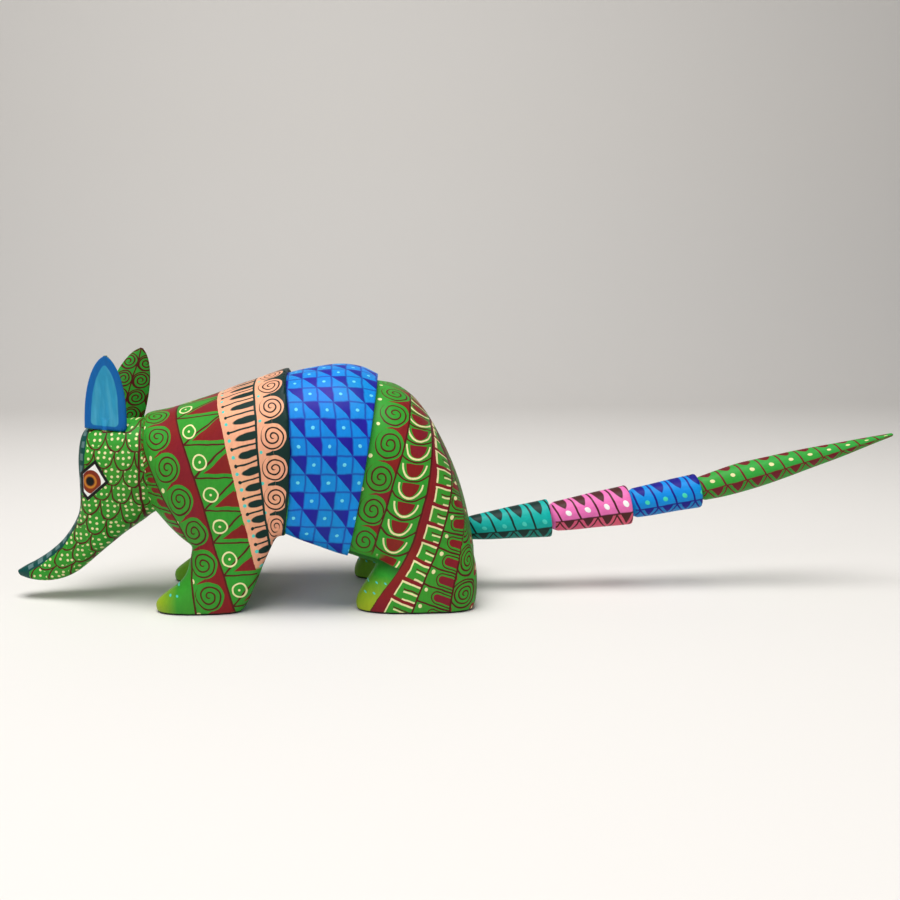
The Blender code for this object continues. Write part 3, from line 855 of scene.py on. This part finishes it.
# %% The forequarters
def forequarters_paint():
    p = Banded("forequarters_paint", GRASS)
    x, y, z = (part / MM for part in p.parts(p.object_place))
    under = p.kept("underside", single=True)
    p.painted = 1.0 - under
    # The foot: green that turns to lime at the toe, with a few aqua specks.
    toe = (p.across - 1.0).inside(0.02) & (z - 24.0).inside(3.0)
    blend = (x - SHIFT + 99.0).math("MULTIPLY_ADD", -0.12, 0.1, clamp=True)
    # Painted shade: on the right foot, the far side, the lime is laid at only 0.35 of its strength.
    p.lay(LIME, toe & blend & (1.0 - (0.0 - y).inside(2.0) * 0.65), 0.0)
    speck = dot((x + p.shake_a).repeat(2.6), (z + p.shake_b).repeat(3.4), 0.42)
    p.lay(AQUA, speck & toe & between(x - SHIFT, -103.0, -97.0) & between(z, 5.0, 12.0), 0.06)
    # The collar between head and shell: wine tongues from the shell's edge.
    here, middle, front = p.band(0)
    here = here & (26.0 - z).inside(1.0)
    cell = p.along.repeat(4.7, 1.6)
    from_rear = p.width - front
    tongue = (length((from_rear - 3.0) | 0.0, cell) - 1.25).inside()
    p.lay(WINE, tongue & here)
    p.lay(BRICK_LINE, brush_line(p.along.repeat(4.7, 3.95), 0.6) & here)
    p.lay(CREAM, dot(front - 2.0, cell, 0.55) & here, 0.08)
    # First band: wave spirals.
    here, middle, front = p.band(1)
    body = here & p.painted
    marks = (5.0, 5.6, 0.75, CREAM)
    waves(p, body, middle + 0.7, p.upright(middle), 11.5, 7.0, 4.6, WINE, BRICK_LINE, marks)
    # Second band: zigzag with a ring in each green field and a wine wedge in each fan.
    here, middle, front = p.band(2)
    body = here & p.painted
    rise = p.along.from_mark(11.6, 2.9)
    slope = front / p.width
    wedge = (1.5 - rise).inside() & (rise - 1.5 - (front - 3.9) * 0.66).inside()
    p.lay(WINE, wedge & (3.9 - front).inside() & body)
    p.lay(BRICK_LINE, brush_line((rise - slope * 10.6) * 0.75, 0.6) & body)
    p.lay(BRICK_LINE, brush_line(p.along.repeat(11.6, 2.9), 0.6) & body)
    ring_a, ring_b = front - 3.9, p.upright(middle).repeat(11.6, 9.3)
    ring = brush_line(length(ring_a, ring_b) - 2.45, 0.6) | dot(ring_a, ring_b, 0.45)
    p.lay(CREAM, ring & body, 0.08)
    # Third band: peach, with pine drops, pine strokes and aqua dots.
    here, middle, front = p.band(3)
    here = here & (16.5 - z).inside(1.0)
    p.lay(PEACH, here, 0.05)
    body = here & p.painted
    raked = p.along - front * 0.26
    cell = raked.repeat(5.6, 22.0)
    from_rear = p.width - front
    drop = length((from_rear - p.width * 0.24) / (p.width * 0.41), cell / 1.3)
    p.lay(PINE, (drop - 1.0).inside(0.15) & body)
    stroke = raked.repeat(5.6, 24.8)
    p.lay(PINE, brush_line(stroke, 0.62) & (1.9 - front).inside() & body)
    p.lay(PINE, dot(front - 2.0, stroke, 0.62) & body)
    p.lay(AQUA, dot(front - 1.8, raked.repeat(5.6, 22.3), 0.62) & body, 0.08)
    # Fourth band: peach waves on pine.
    here, middle, front = p.band(4)
    here = here & (18.0 - z).inside(1.0)
    p.lay(PEACH, here, 0.05)
    body = here & p.painted
    room = (p.width | 9.6) * (p.across - 4.5) + p.shake_a
    marks = (4.3, 5.5, 0.6, AQUA)
    waves(p, body, room, p.upright(middle), 10.6, 31.6, 4.0, PINE, BLACK, marks, 2.6, 0.55)
    p.lay(PINE, (p.width - front - 0.9).inside() & here)
    for number in (1, 2):
        p.edge(number)
    p.painted = p.painted & (16.5 - z).inside(1.0)
    p.edge(4, PINE, 0.8)
    p.lay(BLACK, (z - 0.7).inside(0.3), 0.0)
    return p.dry()


# %% [markdown]
# ### Middle band
# The band between the two big steps of the shell is a net of blue triangles with a pale dot in
# every other square. Rows and columns are counted from the band's edge, so a few layers do it all.

# %% The middle band
def middle_paint():
    p = Banded("middle_band_paint", AZURE)
    here, middle, front = p.band(0)
    column, row = front / 5.3, p.along / 6.3
    u, v = column.math("FRACT"), row.math("FRACT")
    odd = ((column.math("FLOOR") + row.math("FLOOR")) * 0.5).math("FRACT").over(0.25)
    even = 1.0 - odd
    p.lay(ULTRAMARINE, (1.0 - (u + v)).inside(0.04) & even)
    lines = brush_line((u - 0.5).size() - 0.5, 0.075) | brush_line((v - 0.5).size() - 0.5, 0.065)
    p.lay(ULTRAMARINE, lines)
    p.lay(SKY, dot((u - 0.5) * 5.3, (v - 0.52) * 6.3, 0.6) & odd, 0.08)
    return p.dry()


# %% [markdown]
# ### Hindquarters
# From front to back: wave spirals, half discs with a green rim, combs, tongues, then rows of large
# spirals with wine and cream dots between them round the root of the tail. The same helpers draw them in
# other sizes.

# %% The hindquarters
def rump_paint():
    p = Banded("hindquarters_paint", GRASS)
    x, y, z = (part / MM for part in p.parts(p.object_place))
    x = x - SHIFT
    under = p.kept("underside", single=True)
    hem = z - 16.5 + (x + 21.0) * 0.31
    leg_front = hem.inside(0.4) & (p.across - 2.0).inside(0.02)
    p.painted = 1.0 - (under | leg_front)
    # The front of the leg, brushed from green into lime.
    fade = (z + p.shake_a * 4.0).math("MULTIPLY_ADD", -0.085, 1.15, clamp=True)
    # Painted shade: on the right leg, the far side, the lime is laid at only 0.35 of its strength.
    p.lay(LIME, leg_front & fade & (1.0 - (0.0 - y).inside(2.0) * 0.65), 0.0)
    # Painted shade: dark green on the top of the leg front, darkest just under the shell's overhanging
    # hem, fading out about 4 mm lower.
    p.lay(saucer(18, 64, 18), leg_front & (hem * 0.24 + 1.0).math("MULTIPLY", 0.85, clamp=True), 0.0)
    speck = dot((x + z * 0.6).repeat(3.1), z.repeat(3.6), 0.38)
    p.lay(AQUA, speck & leg_front & between(z, 5.0, 13.0), 0.06)
    # Wave spirals.
    here, middle, front = p.band(0)
    body = here & p.painted
    marks = (5.4, 6.2, 0.7, CREAM)
    waves(p, body, middle - 0.6, p.upright(middle), 11.4, 26.3, 4.75, WINE, BRICK_LINE, marks, 3.4)
    # Smiles: a wine half disc, a green rim, a cream stroke and a brush arc, one under another.
    here, middle, front = p.band(1)
    body = here & p.painted
    level = p.upright(middle * 0.6)
    drop = 6.6 - level.from_mark(6.6, 0.6)
    bowl = length(middle, drop * 0.84)
    p.lay(WINE, (length(middle, drop * 0.70) - 3.2).inside() & (0.1 - drop).inside() & body)
    p.lay(CREAM, brush_line(bowl - 4.3, 0.6) & (0.2 - drop).inside() & body, 0.08)
    arc = length(middle, drop + 1.9) - 8.0
    p.lay(BRICK_LINE, brush_line(arc, 0.6) & body)
    # Combs: green blocks outlined in cream, open to the rear.
    here, middle, front = p.band(2)
    body = here & p.painted
    p.lay(WINE, body)
    start = p.width * 0.34
    inner = front - start
    step = (p.along + front * 0.34).from_mark(6.5, 1.0)
    block = (1.1 - step).inside() & (step - 6.3).inside() & (-inner).inside()
    p.lay(GRASS, block & body)
    strokes = brush_line(step - 6.1, 0.62) | (brush_line(inner - 0.2, 0.62) & between(step, 1.2, 6.2))
    strokes = strokes | (brush_line(step - 3.5, 0.55) & (2.6 - inner).inside())
    strokes = strokes | (brush_line(step - 1.3, 0.5) & (3.6 - inner).inside())
    p.lay(CREAM, strokes & (-inner - 0.2).inside() & body, 0.08)
    p.lay(BRICK_LINE, brush_line(step - 4.2, 0.4) & (2.2 - inner).inside() & body)
    # Tongues from the rear, a brush line between them and a cream dot in front.
    here, middle, front = p.band(3)
    body = here & p.painted
    rake = p.along + front * 0.34
    cell = rake.repeat(6.2, 2.0)
    from_rear = p.width - front
    away = length((from_rear - p.width * 0.42) | 0.0, cell)
    p.lay(WINE, (away - 1.35).inside() & body)
    teeth = brush_line(rake.repeat(6.2, 5.1), 0.6) | brush_line(away - 2.1, 0.4)
    p.lay(BRICK_LINE, teeth & body)
    p.lay(CREAM, dot(front - 1.9, rake.repeat(6.2, 3.6), 0.7) & body, 0.08)
    # The rear: rows of large ringed spirals, with a wine dot with a cream middle between them.
    here = p.across.over(4.0)
    body = here & p.painted
    round_rear = ((p.across - 4.0) * 12.0).repeat(11.5, 4.6)
    spiral_row = p.along.repeat(11.4, 6.8)
    p.lay(BRICK_LINE, coil(round_rear, spiral_row, 1.5, 5.0, 0.6) & body)
    p.lay(BRICK_LINE, brush_line(length(round_rear, spiral_row) - 5.1, 0.55) & body)
    gap = length(((p.across - 4.0) * 12.0).repeat(11.5, 10.35), p.along.repeat(11.4, 1.1))
    p.lay(WINE, (gap - 1.9).inside() & body)
    p.lay(CREAM, (gap - 0.6).inside() & body, 0.08)
    for number in (1, 2, 3, 4):
        p.edge(number)
    p.lay(BLACK, (z - 0.7).inside(0.3), 0.0)
    return p.dry()


# %% Paint the shell
for form, paint in ((fore, forequarters_paint), (middle, middle_paint), (hind, rump_paint)):
    form.data.materials.append(paint())
    print(form.name, len(form.data.materials[0].node_tree.nodes), "paint nodes")

# %% [markdown]
# ## The head
# The head tapers into a long bent snout. A dark teal stripe runs down its ridge to the nose tip,
# and hanging scales filled with cream dots cover the cheeks. The scales follow the bend, so each
# point stores how far down the ridge line it lies and how far behind it. The eye is drawn with
# straight edges between four corners, then an iris of three rings.

# %% How far down and behind the ridge line each point lies
RIDGE_EDGE = (
    (-131.6, 80),
    (-131.6, 62),
    (-131.9, 55),
    (-132.6, 49),
    (-133.6, 42),
    (-135.2, 34.5),
    (-138.2, 27.6),
    (-142.3, 21.6),
    (-147.8, 16.2),
    (-155, 11.4),
    (-166, 5),
)


def mark_head(obj):
    place, _ = points_of(obj)
    flat = place[:, (0, 2)]
    ridge = np.array([smooth_rows(RIDGE_EDGE, s) for s in np.linspace(0, 1, 160)])
    nearest = np.full(len(flat), 1e9)
    behind, down = np.zeros(len(flat)), np.zeros(len(flat))
    run = 0.0
    for start, end in zip(ridge, ridge[1:]):
        step = end - start
        size = np.hypot(*step)
        share = np.clip(((flat - start) @ step) / size**2, 0, 1)
        away = flat - start - share[:, None] * step
        distance = np.hypot(*away.T)
        side = np.sign(away[:, 1] * step[0] - away[:, 0] * step[1])
        closer = distance < nearest
        nearest = np.where(closer, distance, nearest)
        behind = np.where(closer, distance * side, behind)
        down = np.where(closer, run + share * size, down)
        run += size
    keep_numbers(obj, "head_place", np.stack([behind, down, np.zeros(len(flat))], 1))
    print(obj.name, "ridge line is", round(run), "mm long")


mark_head(head)
EYE = {
    "top": (-128.0, 52.2),
    "rear": (-124.4, 45.9),
    "bottom": (-131.2, 40.2),
    "front low": (-132.7, 42.0),
    "front high": (-132.7, 48.4),
}
IRIS, PUPIL = (-129.6, 45.7), (-130.0, 45.9)
DOTS_APART = 2.15


# %% Head paint
def head_paint():
    p = Paint("head_paint", GRASS)
    behind, down, _ = p.kept("head_place")
    x, y, z = (part / MM for part in p.parts(p.object_place))
    shake_a, shake_b = p.wobble(0.5)
    x, behind, down = x - SHIFT, behind + shake_a, down + shake_b
    wide, tall = 7.2, 5.7
    row = (down / tall).math("FLOOR")
    drop = down.from_mark(tall) / tall
    along_row = (behind + (row * 0.5).math("FRACT") * wide).repeat(wide) / (wide / 2)
    scale = (length(along_row, drop) - 1.0) * 4.3
    rows = p.tree.nodes.new("ShaderNodeCombineXYZ")
    p.tree.links.new(x.socket, rows.inputs[0])
    p.tree.links.new(z.socket, rows.inputs[1])
    dots = p.tree.nodes.new("ShaderNodeTexVoronoi")
    dots.voronoi_dimensions = "2D"
    dots.inputs["Scale"].default_value = 1 / DOTS_APART
    dots.inputs["Randomness"].default_value = 0.38
    p.tree.links.new(rows.outputs[0], dots.inputs["Vector"])
    near_dot = p.reading(dots.outputs["Distance"]) * DOTS_APART
    p.lay(LEAF, (scale + 1.4).size().inside(1.6) * 0.5, 0.0)
    p.lay(CREAM, (near_dot - 0.50).inside() & (0.65 - scale.size()).inside(), 0.09)
    p.lay(BRICK_LINE, brush_line(scale, 0.55))
    p.lay(BRICK_LINE, brush_line(x + 112.4 + shake_a, 0.8))
    # The ridge stripe, its row of pale dashes, and the nose tip.
    p.lay(RIDGE_TEAL, behind.inside() | (x + 156.5).inside())
    dash = between(behind, -1.9, -0.6) & between(down.repeat(4.3), -1.2, 1.2) & (-157.5 - x).inside()
    p.lay(saucer(104, 134, 134), dash * 0.7, 0.06)

    def side(start, end):
        """How far outside the eye's edge from one corner to the next a point lies."""
        (x0, z0), (x1, z1) = EYE[start], EYE[end]
        size = math.hypot(x1 - x0, z1 - z0)
        return (x - x0) * ((z0 - z1) / size) + (z - z0) * ((x1 - x0) / size)

    order = ("top", "rear", "bottom", "front low", "front high", "top")
    lid = side(order[0], order[1])
    for start, end in zip(order[1:], order[2:]):
        lid = lid | side(start, end)
    cheek = (8.0 - y.size()).inside()
    p.lay(BLACK, (lid - 1.05).inside() & cheek, 0.04)
    p.lay(WHITE, (lid + 0.05).inside() & cheek, 0.05)
    ring = length((x - IRIS[0]) * 1.1, (z - IRIS[1]) * 0.92)
    within = (lid + 0.1).inside() & cheek
    p.lay(saucer(128, 44, 20), (ring - 3.95).inside() & within, 0.06)
    inner = length(x - PUPIL[0], (z - PUPIL[1]) * 0.94)
    p.lay(saucer(196, 122, 38), (inner - 2.45).inside(0.3) & within, 0.06)
    p.lay(saucer(104, 52, 20), (inner - 1.72).inside(0.3) & within, 0.06)
    p.lay(BLACK, (inner - 1.4).inside() & within, 0.07)
    return p.dry()


head.data.materials.append(head_paint())
print("head:", len(head.data.materials[0].node_tree.nodes), "paint nodes")

# %% [markdown]
# ## The ears
# Each ear is a leaf-shaped blade, scooped on its outer face, with a round tenon below. A rolled
# grid gives the blade: one way along it is the height and the other goes round its thin section.
# The hollow face is blue with a paler middle, and the back is green with brick-red curls.


# %% Ear blades
def ear_blade_point(share, turn, height):
    t = math.sin(share * math.pi / 2)
    half = EAR_WIDTH / 2 * max(0.02, 1 - t**2.6) ** 0.62
    thick = EAR_THICKNESS / 2 * (1 - 0.55 * t)
    scoop = EAR_HOLLOW * math.sin(math.pi * min(1.0, 0.12 + 0.88 * t)) ** 0.7
    u, depth = math.sin(turn), math.cos(turn)
    if depth >= 0:
        y = -0.88 * thick * (1 - abs(u) ** 3.2) ** 0.55 + scoop * (1 - u * u) ** 1.2
    else:
        y = thick * (1 - abs(u) ** 2.3) ** 0.62
    return Vector((half * u * MM, y * MM, height * t * MM))


def keep_own_place(obj, name, stand):
    """Stores each point's place in the piece's own frame, in millimetres."""
    place = np.empty(len(obj.data.vertices) * 3)
    obj.data.vertices.foreach_get("co", place)
    home = np.array(stand.inverted())
    keep_numbers(obj, name, (place.reshape(-1, 3) @ home[:3, :3].T + home[:3, 3]) / MM)
    facing = np.empty(len(obj.data.vertices) * 3)
    obj.data.vertices.foreach_get("normal", facing)
    return facing.reshape(-1, 3) @ home[:3, :3].T


def make_ear(label):
    side, height, set_back, lean = EARS[label]
    bm = bmesh.new()
    wrap_grid(bm, 44, 72, lambda s, t: ear_blade_point(s, t, height))
    ear = finished_object(f"painted_ear_{label}", bm)
    bm = bmesh.new()
    rod(bm, TENON_RADIUS, -TENON_LENGTH, 4)
    rims = [e for e in bm.edges if e.calc_length() < 0.6 * MM and e.verts[0].co.z < 0]
    look = {"segments": 2, "profile": 0.5, "affect": "EDGES", "material": -1}
    bmesh.ops.bevel(bm, geom=rims, offset=0.3 * MM, **look)
    take_away(ear, finished_object("tenon", bm), "UNION")
    stand = ear_stand(side, set_back, lean)
    ear.data.transform(stand)
    facing = keep_own_place(ear, "ear_place", stand)
    keep_numbers(ear, "outward", -facing[:, 1])
    ear.data.shade_smooth()
    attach(ear, f"ear_{label}")
    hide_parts(f"ear_{label}")
    return ear


def ear_paint():
    p = Paint("ear_paint", saucer(44, 150, 44))
    x, y, z = p.kept("ear_place")
    shake_a, shake_b = p.wobble(0.35)
    column = (x + shake_a).repeat(6.2, 3.1)
    row = (z + shake_b + (x * 0.16)).repeat(6.8, 4.0)
    p.lay(BRICK_LINE, coil(column, row, 1.28, 2.9, 0.55))
    p.lay(BRICK_LINE, brush_line(length(column, row) - 3.05, 0.5))
    p.lay(BRICK_LINE, brush_line(x + shake_a, 0.5))
    outward = p.kept("outward", single=True)
    hollow = (0.05 - outward).inside(0.3) & (0.15 - z).inside()
    p.lay(saucer(4, 100, 172), hollow, 0.05)
    across_middle = (1.0 - ((z / 23.8) | 0.0).math("POWER", 3.2)) | 0.0
    middle = (x + shake_a * 0.6).size() - across_middle.math("POWER", 0.75) * 5.0
    corner = length((middle + 1.6) | 0.0, (3.2 - z) | 0.0) - 1.6
    pale = corner.inside(0.35) & (z - 23.6).inside(0.3)
    p.lay(saucer(44, 152, 192), pale & hollow, 0.05)
    strokes = p.reading(p.noise(420.0, 2.0, (1.0, 1.0, 0.10)).outputs["Fac"])
    streak = (strokes - 0.45).math("MULTIPLY", 1.6, clamp=True)
    p.lay(saucer(96, 190, 212), (pale & hollow) * streak, 0.0)
    wood = (z + 0.15).inside(0.3)
    p.lay(saucer(214, 182, 130), wood, 0.0)
    return p.dry((1.0, 1.0, 0.15), 0.42)


ears_material = ear_paint()
for label in EARS:
    make_ear(label).data.materials.append(ears_material)
print("ears made:", sorted(EARS))

# %% [markdown]
# ## The tail
# Four turned pieces nest like cups. Each has a round knob in front that sits in the hollow of the
# piece ahead, and an upright pin lets it wag. Spinning one half outline about the piece's own
# length gives knob, neck, skin, rim and hollow in one closed shape. The skin is then pushed in
# and out a little, because the real ones are whittled with a knife and not turned on a lathe.

# %% Sizes of the tail pieces
# Name, colour name, pivot to pivot, upward slope, front radius, rim radius
TAIL = (
    ("tail_link_1", "teal", 32.2, 6.6, 4.5, 7.3),
    ("tail_link_2", "pink", 31.2, 8.6, 5.6, 7.6),
    ("tail_link_3", "blue", 27.6, 10.6, 5.7, 6.6),
    ("tail_tip", "green", 83.3, 15.2, 4.7, None),
)
PIVOT_DEPTH, KNOB_ROOM, CUP_WALL = 3.4, 0.5, 1.0


def knob_outline(front):
    round_part = bow(0.0, front - GAP, 180, 52, 20)
    round_part[0] = (-(front - GAP), 0.0)
    neck = round_part[-1][0]
    return [*round_part, (neck + 1.2, front - 0.7), (neck + 2.6, front)]


def link_outline(pitch, front, rim, next_front):
    """Knob, skin, rounded rim and the hollow for the next knob."""
    end = pitch + PIVOT_DEPTH
    outline = knob_outline(front)
    start = outline[-1][0]
    skin = [
        (x, front + (rim - front) * ((x - start) / (end - 0.7 - start)) ** 0.85)
        for x in np.linspace(start, end - 0.7, 22)[1:]
    ]
    hollow = bow(pitch, next_front - GAP + KNOB_ROOM, 80, 180, 16)
    hollow[-1] = (hollow[-1][0], 0.0)
    lip = [(end - 0.2, rim - 0.2), (end, rim - 0.55), (end - 0.2, rim - CUP_WALL)]
    return [*outline, *skin, *lip, *hollow]


def tip_outline(reach, front):
    outline = knob_outline(front)
    start, bulge, thickest, point = outline[-1][0], 22.0, 5.6, 0.6
    skin = []
    for x in np.linspace(start, reach - point, 60)[1:]:
        if x < bulge:
            radius = front + (thickest - front) * math.sin((x - start) / (bulge - start) * math.pi / 2)
        else:
            radius = thickest + (point - thickest) * ((x - bulge) / (reach - bulge)) ** 1.35
        skin.append((x, radius))
    return [*outline, *skin, (reach - 0.15, 0.35), (reach, 0.0)]


# %% Make and joint the tail pieces
def whittle(bm, first_x, last_x, amount=0.16):
    """Pushes the outer skin in and out a little, as knife cuts leave it."""
    for v in bm.verts:
        radius = math.hypot(v.co.y, v.co.z)
        outer = first_x * MM < v.co.x < last_x * MM and v.normal.yz.length > 0.5
        if outer and v.normal.y * v.co.y + v.normal.z * v.co.z > 0:
            turn = math.atan2(v.co.y, v.co.z)
            cut = noise.noise(Vector((v.co.x * 90, math.cos(turn) * 1.6, math.sin(turn) * 1.6)))
            push = (cut * amount - 0.10 * (1 - math.cos(4 * turn)) / 2) * MM
            v.co.y += v.co.y / radius * push
            v.co.z += v.co.z / radius * push


pivots = []
x, z = TAIL_ROOT[0] + SHIFT, TAIL_ROOT[1]
tail = []
for i, (name, _, reach, slope, front, rim) in enumerate(TAIL):
    slope = math.radians(slope)
    pivots.append((x, z))
    bm = bmesh.new()
    if rim is None:
        outline = tip_outline(reach, front)
    else:
        outline = link_outline(reach, front, rim, TAIL[i + 1][4])
    spun(bm, outline, 72)
    bm.normal_update()
    whittle(bm, front, reach - 1.5 if rim is None else reach + 2.2)
    piece = finished_object(f"painted_{name}", bm)
    piece.data.transform(link_stand(x, z, slope))
    tail.append(piece)
    x, z = x + reach * math.cos(slope), z + reach * math.sin(slope)
for i, (x, z) in enumerate(pivots):
    for owner in ([hind] if i == 0 else [tail[i - 1]]) + [tail[i]]:
        bm = bmesh.new()
        low, high = (-z, HOLE_TOP) if owner is hind else (-HOLE_REACH, HOLE_REACH)
        rod(bm, HOLE_RADIUS, low, high)
        bm.transform(Matrix.Translation((x * MM, 0, z * MM)))
        take_away(owner, finished_object("drill", bm))
for piece, (name, colour, _, slope, _, _), (x, z) in zip(tail, TAIL, pivots):
    keep_own_place(piece, "tail_place", link_stand(x, z, math.radians(slope)))
    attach(piece, name.replace("link_", ""))
    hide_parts(name)
    piece.data.shade_smooth()
    piece.data.set_sharp_from_angle(angle=math.radians(50))
print("pivots at", [(round(x, 1), round(z, 1)) for x, z in pivots], "mm")

# %% [markdown]
# ### Tail paint
# All four pieces carry one motif in different colours: cells with a dark tongue hanging from the
# top and one dot each, over a dark strip with zigzag strokes. One function paints them all.


# %% Tail paint
def tail_paint(name, colours, cells, turns, dot_size, rake):
    ground, dark, spot, stroke = colours
    (start, cell), (strip_at, tongue_to, dot_at) = cells, turns
    p = Paint(f"{name}_paint", ground)
    x, y, z = p.kept("tail_place")
    shake_a, shake_b = p.wobble(0.4)
    radius = length(y, z)
    turn = y.size().math("ARCTAN2", z) + shake_b * 0.12
    x = x + shake_a
    raked = x - turn * rake
    skin = (start - 0.6 - x).inside()
    strip = (strip_at - turn).inside(0.06) & skin
    p.lay(dark, brush_line(raked.repeat(cell, start - 1.2), 0.75) & skin)
    inside = raked.repeat(cell, start - 1.2 + cell * 0.47)
    reach = (turn / tongue_to).math("POWER", 3.0)
    tongue = (inside.size() - (1.0 - reach) * cell * 0.27).inside(0.3)
    p.lay(dark, tongue & (turn - tongue_to).inside(0.1) & skin)
    place = raked.repeat(cell, start - 1.2 + cell * 0.52)
    p.lay(spot, dot(place, (turn - dot_at) * 6.0, dot_size) & skin, 0.1)
    p.lay(dark, strip)
    depth = (turn - strip_at) * 6.0
    legs = x.repeat(cell, start + 1.0).size() - (depth - 1.2) * 0.5
    p.lay(stroke, between(legs, 0.7, 1.9) & (0.6 - depth).inside(0.4) & strip)
    p.lay(stroke, legs.inside() & (1.0 - depth).inside(0.4) & strip)
    return p.dry((0.5, 1.0, 1.0), 0.44)


# The ground colour, the dark, the dot and the stroke of each piece.
TAIL_COLOURS = {
    "teal": (saucer(6, 172, 164), saucer(10, 46, 42), saucer(70, 205, 190), saucer(12, 128, 116)),
    "pink": (saucer(232, 112, 178), saucer(74, 30, 30), WHITE, saucer(212, 84, 112)),
    "blue": (saucer(4, 138, 216), saucer(18, 20, 130), saucer(70, 215, 175), saucer(14, 122, 190)),
    "green": (saucer(52, 160, 62), saucer(112, 22, 30), CREAM, saucer(50, 140, 44)),
}
# First cell and its width in millimetres; how far round (in radians from the top) the strip, the
# tongue and the dot lie; the dot's radius; how much the cells lean.
TAIL_MOTIFS = {
    "teal": ((4.6, 7.6), (1.88, 1.15, 1.55), 0.85, 1.7),
    "pink": ((5.4, 7.3), (1.74, 1.00, 1.30), 1.05, 1.8),
    "blue": ((5.4, 7.2), (1.88, 1.05, 1.50), 0.90, 1.1),
    "green": ((4.9, 7.9), (1.56, 0.55, 1.00), 0.90, 1.1),
}
for piece, colour in zip(tail, TAIL_COLOURS):
    piece.data.materials.append(tail_paint(colour, TAIL_COLOURS[colour], *TAIL_MOTIFS[colour]))
    print(piece.name, "is painted", colour)

# %% [markdown]
# ### Bare pins
# The four pins are slips of unpainted wood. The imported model's own pins have the right shape, so
# they stay and get a wood finish with fine grain.


# %% Pin wood
def pin_wood():
    p = Paint("pin_wood", saucer(206, 168, 112))
    grain = p.reading(p.noise(900.0, 4.0, (1.0, 1.0, 0.08)).outputs["Fac"])
    p.lay(saucer(150, 104, 60), (grain - 0.5).math("MULTIPLY", 3.0, clamp=True), 0.02)
    return p.dry((1.0, 1.0, 0.08), 0.6, 0.02)


wood = pin_wood()
for node in sorted(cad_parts):
    if node.startswith("tail_pin"):
        pin = bpy.data.objects[node]
        pin.data.materials.clear()
        pin.data.materials.append(wood)
        print(node, "is bare wood")
